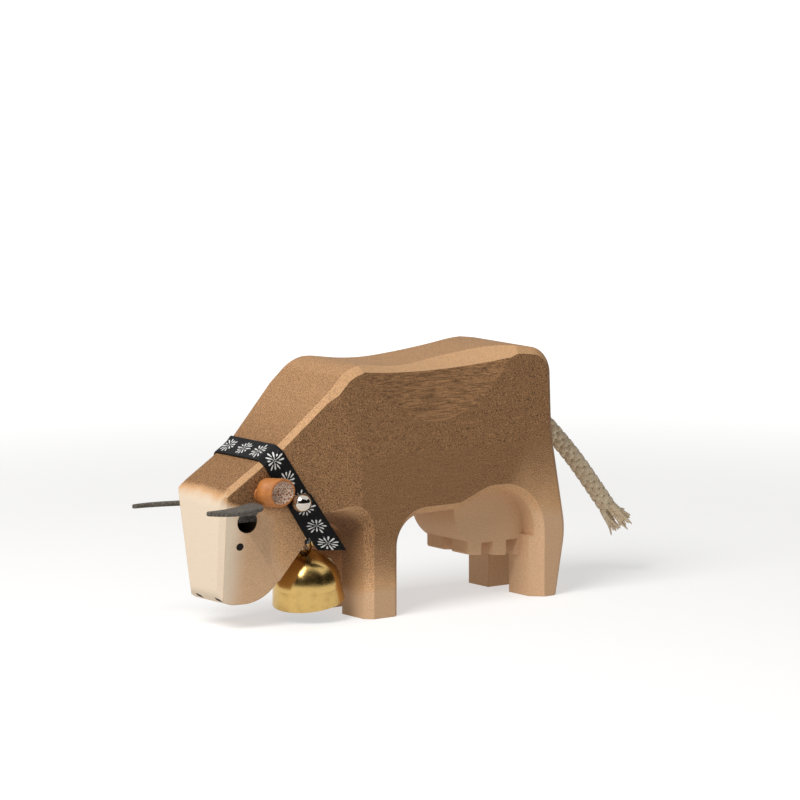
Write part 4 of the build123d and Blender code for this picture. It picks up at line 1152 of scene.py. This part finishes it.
def bell_wall(inset, count):
    """Radius and height from the mouth to the crown: a slightly tapered band, then a dome on a superellipse."""
    band = np.linspace(0, 1, 10)
    wide, high = BELL_WIDE - inset, BELL_HIGH - inset
    neck = wide - BAND_TAPER
    turn = np.linspace(0, np.pi / 2, count)[1:]
    power = 2 / 1.94
    radius = np.concatenate([wide - BAND_TAPER * band, neck * np.cos(turn) ** power])
    height = np.concatenate([BELL_BAND * band, BELL_BAND + (high - BELL_BAND) * np.sin(turn) ** power])
    return radius, height


def bell_form():
    """The spun bell: the inside wall from crown to mouth, a rolled rim, and the outside wall back to the crown,
    turned round the bell's axis. A shallow groove runs round the top of the band."""
    radius_out, height_out = bell_wall(0.0, 60)
    radius_in, height_in = bell_wall(BELL_WALL, 40)
    roll = np.linspace(0, 1, 10)[1:-1] * np.pi
    middle = BELL_WIDE - BELL_WALL / 2
    rim_radius = middle - (BELL_WALL / 2 + 0.04) * np.cos(roll)
    rim_height = -0.02 - 0.32 * np.sin(roll) + RIM_LIFT
    height_out = height_out + RIM_LIFT * np.exp(-height_out)
    height_in = height_in + RIM_LIFT * np.exp(-height_in)
    radius_out = radius_out - 0.05 * np.exp(-(((height_out - BELL_BAND) / 0.22) ** 2))
    radius = np.concatenate([radius_in[::-1], rim_radius, radius_out])
    height = np.concatenate([height_in[::-1], rim_height, height_out])
    radius[[0, -1]] = 0.0
    turn = ring(112)
    right = radius[:, None] * np.cos(turn)
    ahead = radius[:, None] * np.sin(turn)
    return bell_points(right, ahead, np.broadcast_to(height[:, None], right.shape))


def bell_strap():
    """The strap on the crown: a rounded flat section carried over an arch that is a superellipse, square at its
    shoulders."""
    turn = np.linspace(0, np.pi, STRAP_ROWS)
    right = 2.05 * np.sign(np.cos(turn)) * np.abs(np.cos(turn)) ** 0.45
    right = right + 0.35 * np.cos(turn) * (1 - np.sin(turn)) ** 2
    up = 14.15 + 4.3 * np.abs(np.sin(turn)) ** 0.5
    path = np.stack([right, up], axis=-1)
    along = unit(np.gradient(path, axis=0))
    out = np.stack([along[:, 1], -along[:, 0]], axis=-1)
    section = rounded_section(20, 0.45)
    shut = shut_ends(STRAP_ROWS)[:, None]
    thick = STRAP_HALF_THICK * section[:, 1] * shut
    wide = STRAP_HALF_WIDE * section[:, 0] * shut
    return bell_points(path[:, :1] + out[:, :1] * thick, wide, path[:, 1:] + out[:, 1:] * thick)


def spun_brass(settings):
    """Polished brass: fine spinning lines round the axis, faint smears, and dull brass inside the mouth."""
    brass = Finish("spun_brass")
    u = brass.uv().parts()[0]
    smear = brass.place().noise(0.35, detail=4.0, rough=0.6)
    line = brass.vector(u * 60.0, 0.0, 0.0).noise(3.0)
    inner = u.ease(0.44, 0.40)
    colour = brass.blend(smear.ease(0.45, 0.8, 0.0, 0.3), rgba(settings.brass), rgba(settings.worn))
    colour = brass.blend(inner, colour, rgba(settings.worn))
    rough = smear.ease(0.35, 0.8, 0.19, 0.3) + inner * 0.15
    return brass.set(Base_Color=colour, Metallic=1.0, Roughness=rough, Normal=brass.bump(line, 0.012))


def drawn_wire(settings):
    """Drawn steel wire with a dull, mottled skin."""
    wire = Finish("drawn_wire")
    mottle = wire.place().noise(1.2, detail=4.0)
    colour = wire.blend(mottle.ease(0.35, 0.75), rgba(settings.wire), rgba(settings.wire, 0.6))
    return wire.set(Base_Color=colour, Metallic=1.0, Roughness=mottle.ease(0.3, 0.8, 0.25, 0.42))


class COW_OT_bell(bpy.types.Operator):
    """Spins the bell, bends its strap and finishes its clapper"""

    bl_idname = "cow.bell"
    bl_label = "Bell"

    def execute(self, context):
        settings = context.scene.cow_bell
        finish = spun_brass(settings)
        form = bell_form()
        shell = surface_mesh("bell_form", form, along=np.linspace(0, 1, form.shape[0] + 1))
        show("bell_form", shell, finish, "bell", "bell_brass", "bell_shell")
        strap = surface_mesh("bell_strap", bell_strap(), along=np.linspace(0.9, 1, STRAP_ROWS + 1))
        show("bell_strap", strap, finish, "bell", "bell_brass", "bell_loop")
        dress(drawn_wire(settings), "clapper_staple", "clapper_rod", "clapper_ball")
        return {"FINISHED"}


class COW_PT_pieces(bpy.types.Panel):
    """The pieces of the cow, in the order in which they are made"""

    bl_idname = "COW_PT_pieces"
    bl_label = "Carved Wooden Cow"
    bl_space_type = "VIEW_3D"
    bl_region_type = "UI"
    bl_category = "Cow"

    def draw(self, context):
        for name, group in GROUPS.items():
            box = self.layout.box()
            for key in group.__annotations__:
                box.prop(getattr(context.scene, name), key)
        for operator in OPERATORS:
            self.layout.operator(operator.bl_idname)


OPERATORS = (COW_OT_stage, COW_OT_tail, COW_OT_wood, COW_OT_horns, COW_OT_ears, COW_OT_collar, COW_OT_bell)


def register():
    for group in GROUPS.values():
        bpy.utils.register_class(group)
    for name, group in GROUPS.items():
        setattr(bpy.types.Scene, name, bpy.props.PointerProperty(type=group))
    for kind in (*OPERATORS, COW_PT_pieces):
        bpy.utils.register_class(kind)


def unregister():
    for kind in (COW_PT_pieces, *reversed(OPERATORS)):
        bpy.utils.unregister_class(kind)
    for name in GROUPS:
        delattr(bpy.types.Scene, name)
    for group in reversed(list(GROUPS.values())):
        bpy.utils.unregister_class(group)


def main():
    register()
    bpy.ops.cow.stage()
    bpy.ops.cow.tail()
    bpy.ops.cow.wood()
    bpy.ops.cow.horns()
    bpy.ops.cow.ears()
    bpy.ops.cow.collar()
    bpy.ops.cow.bell()


if __name__ == "__main__":
    main()
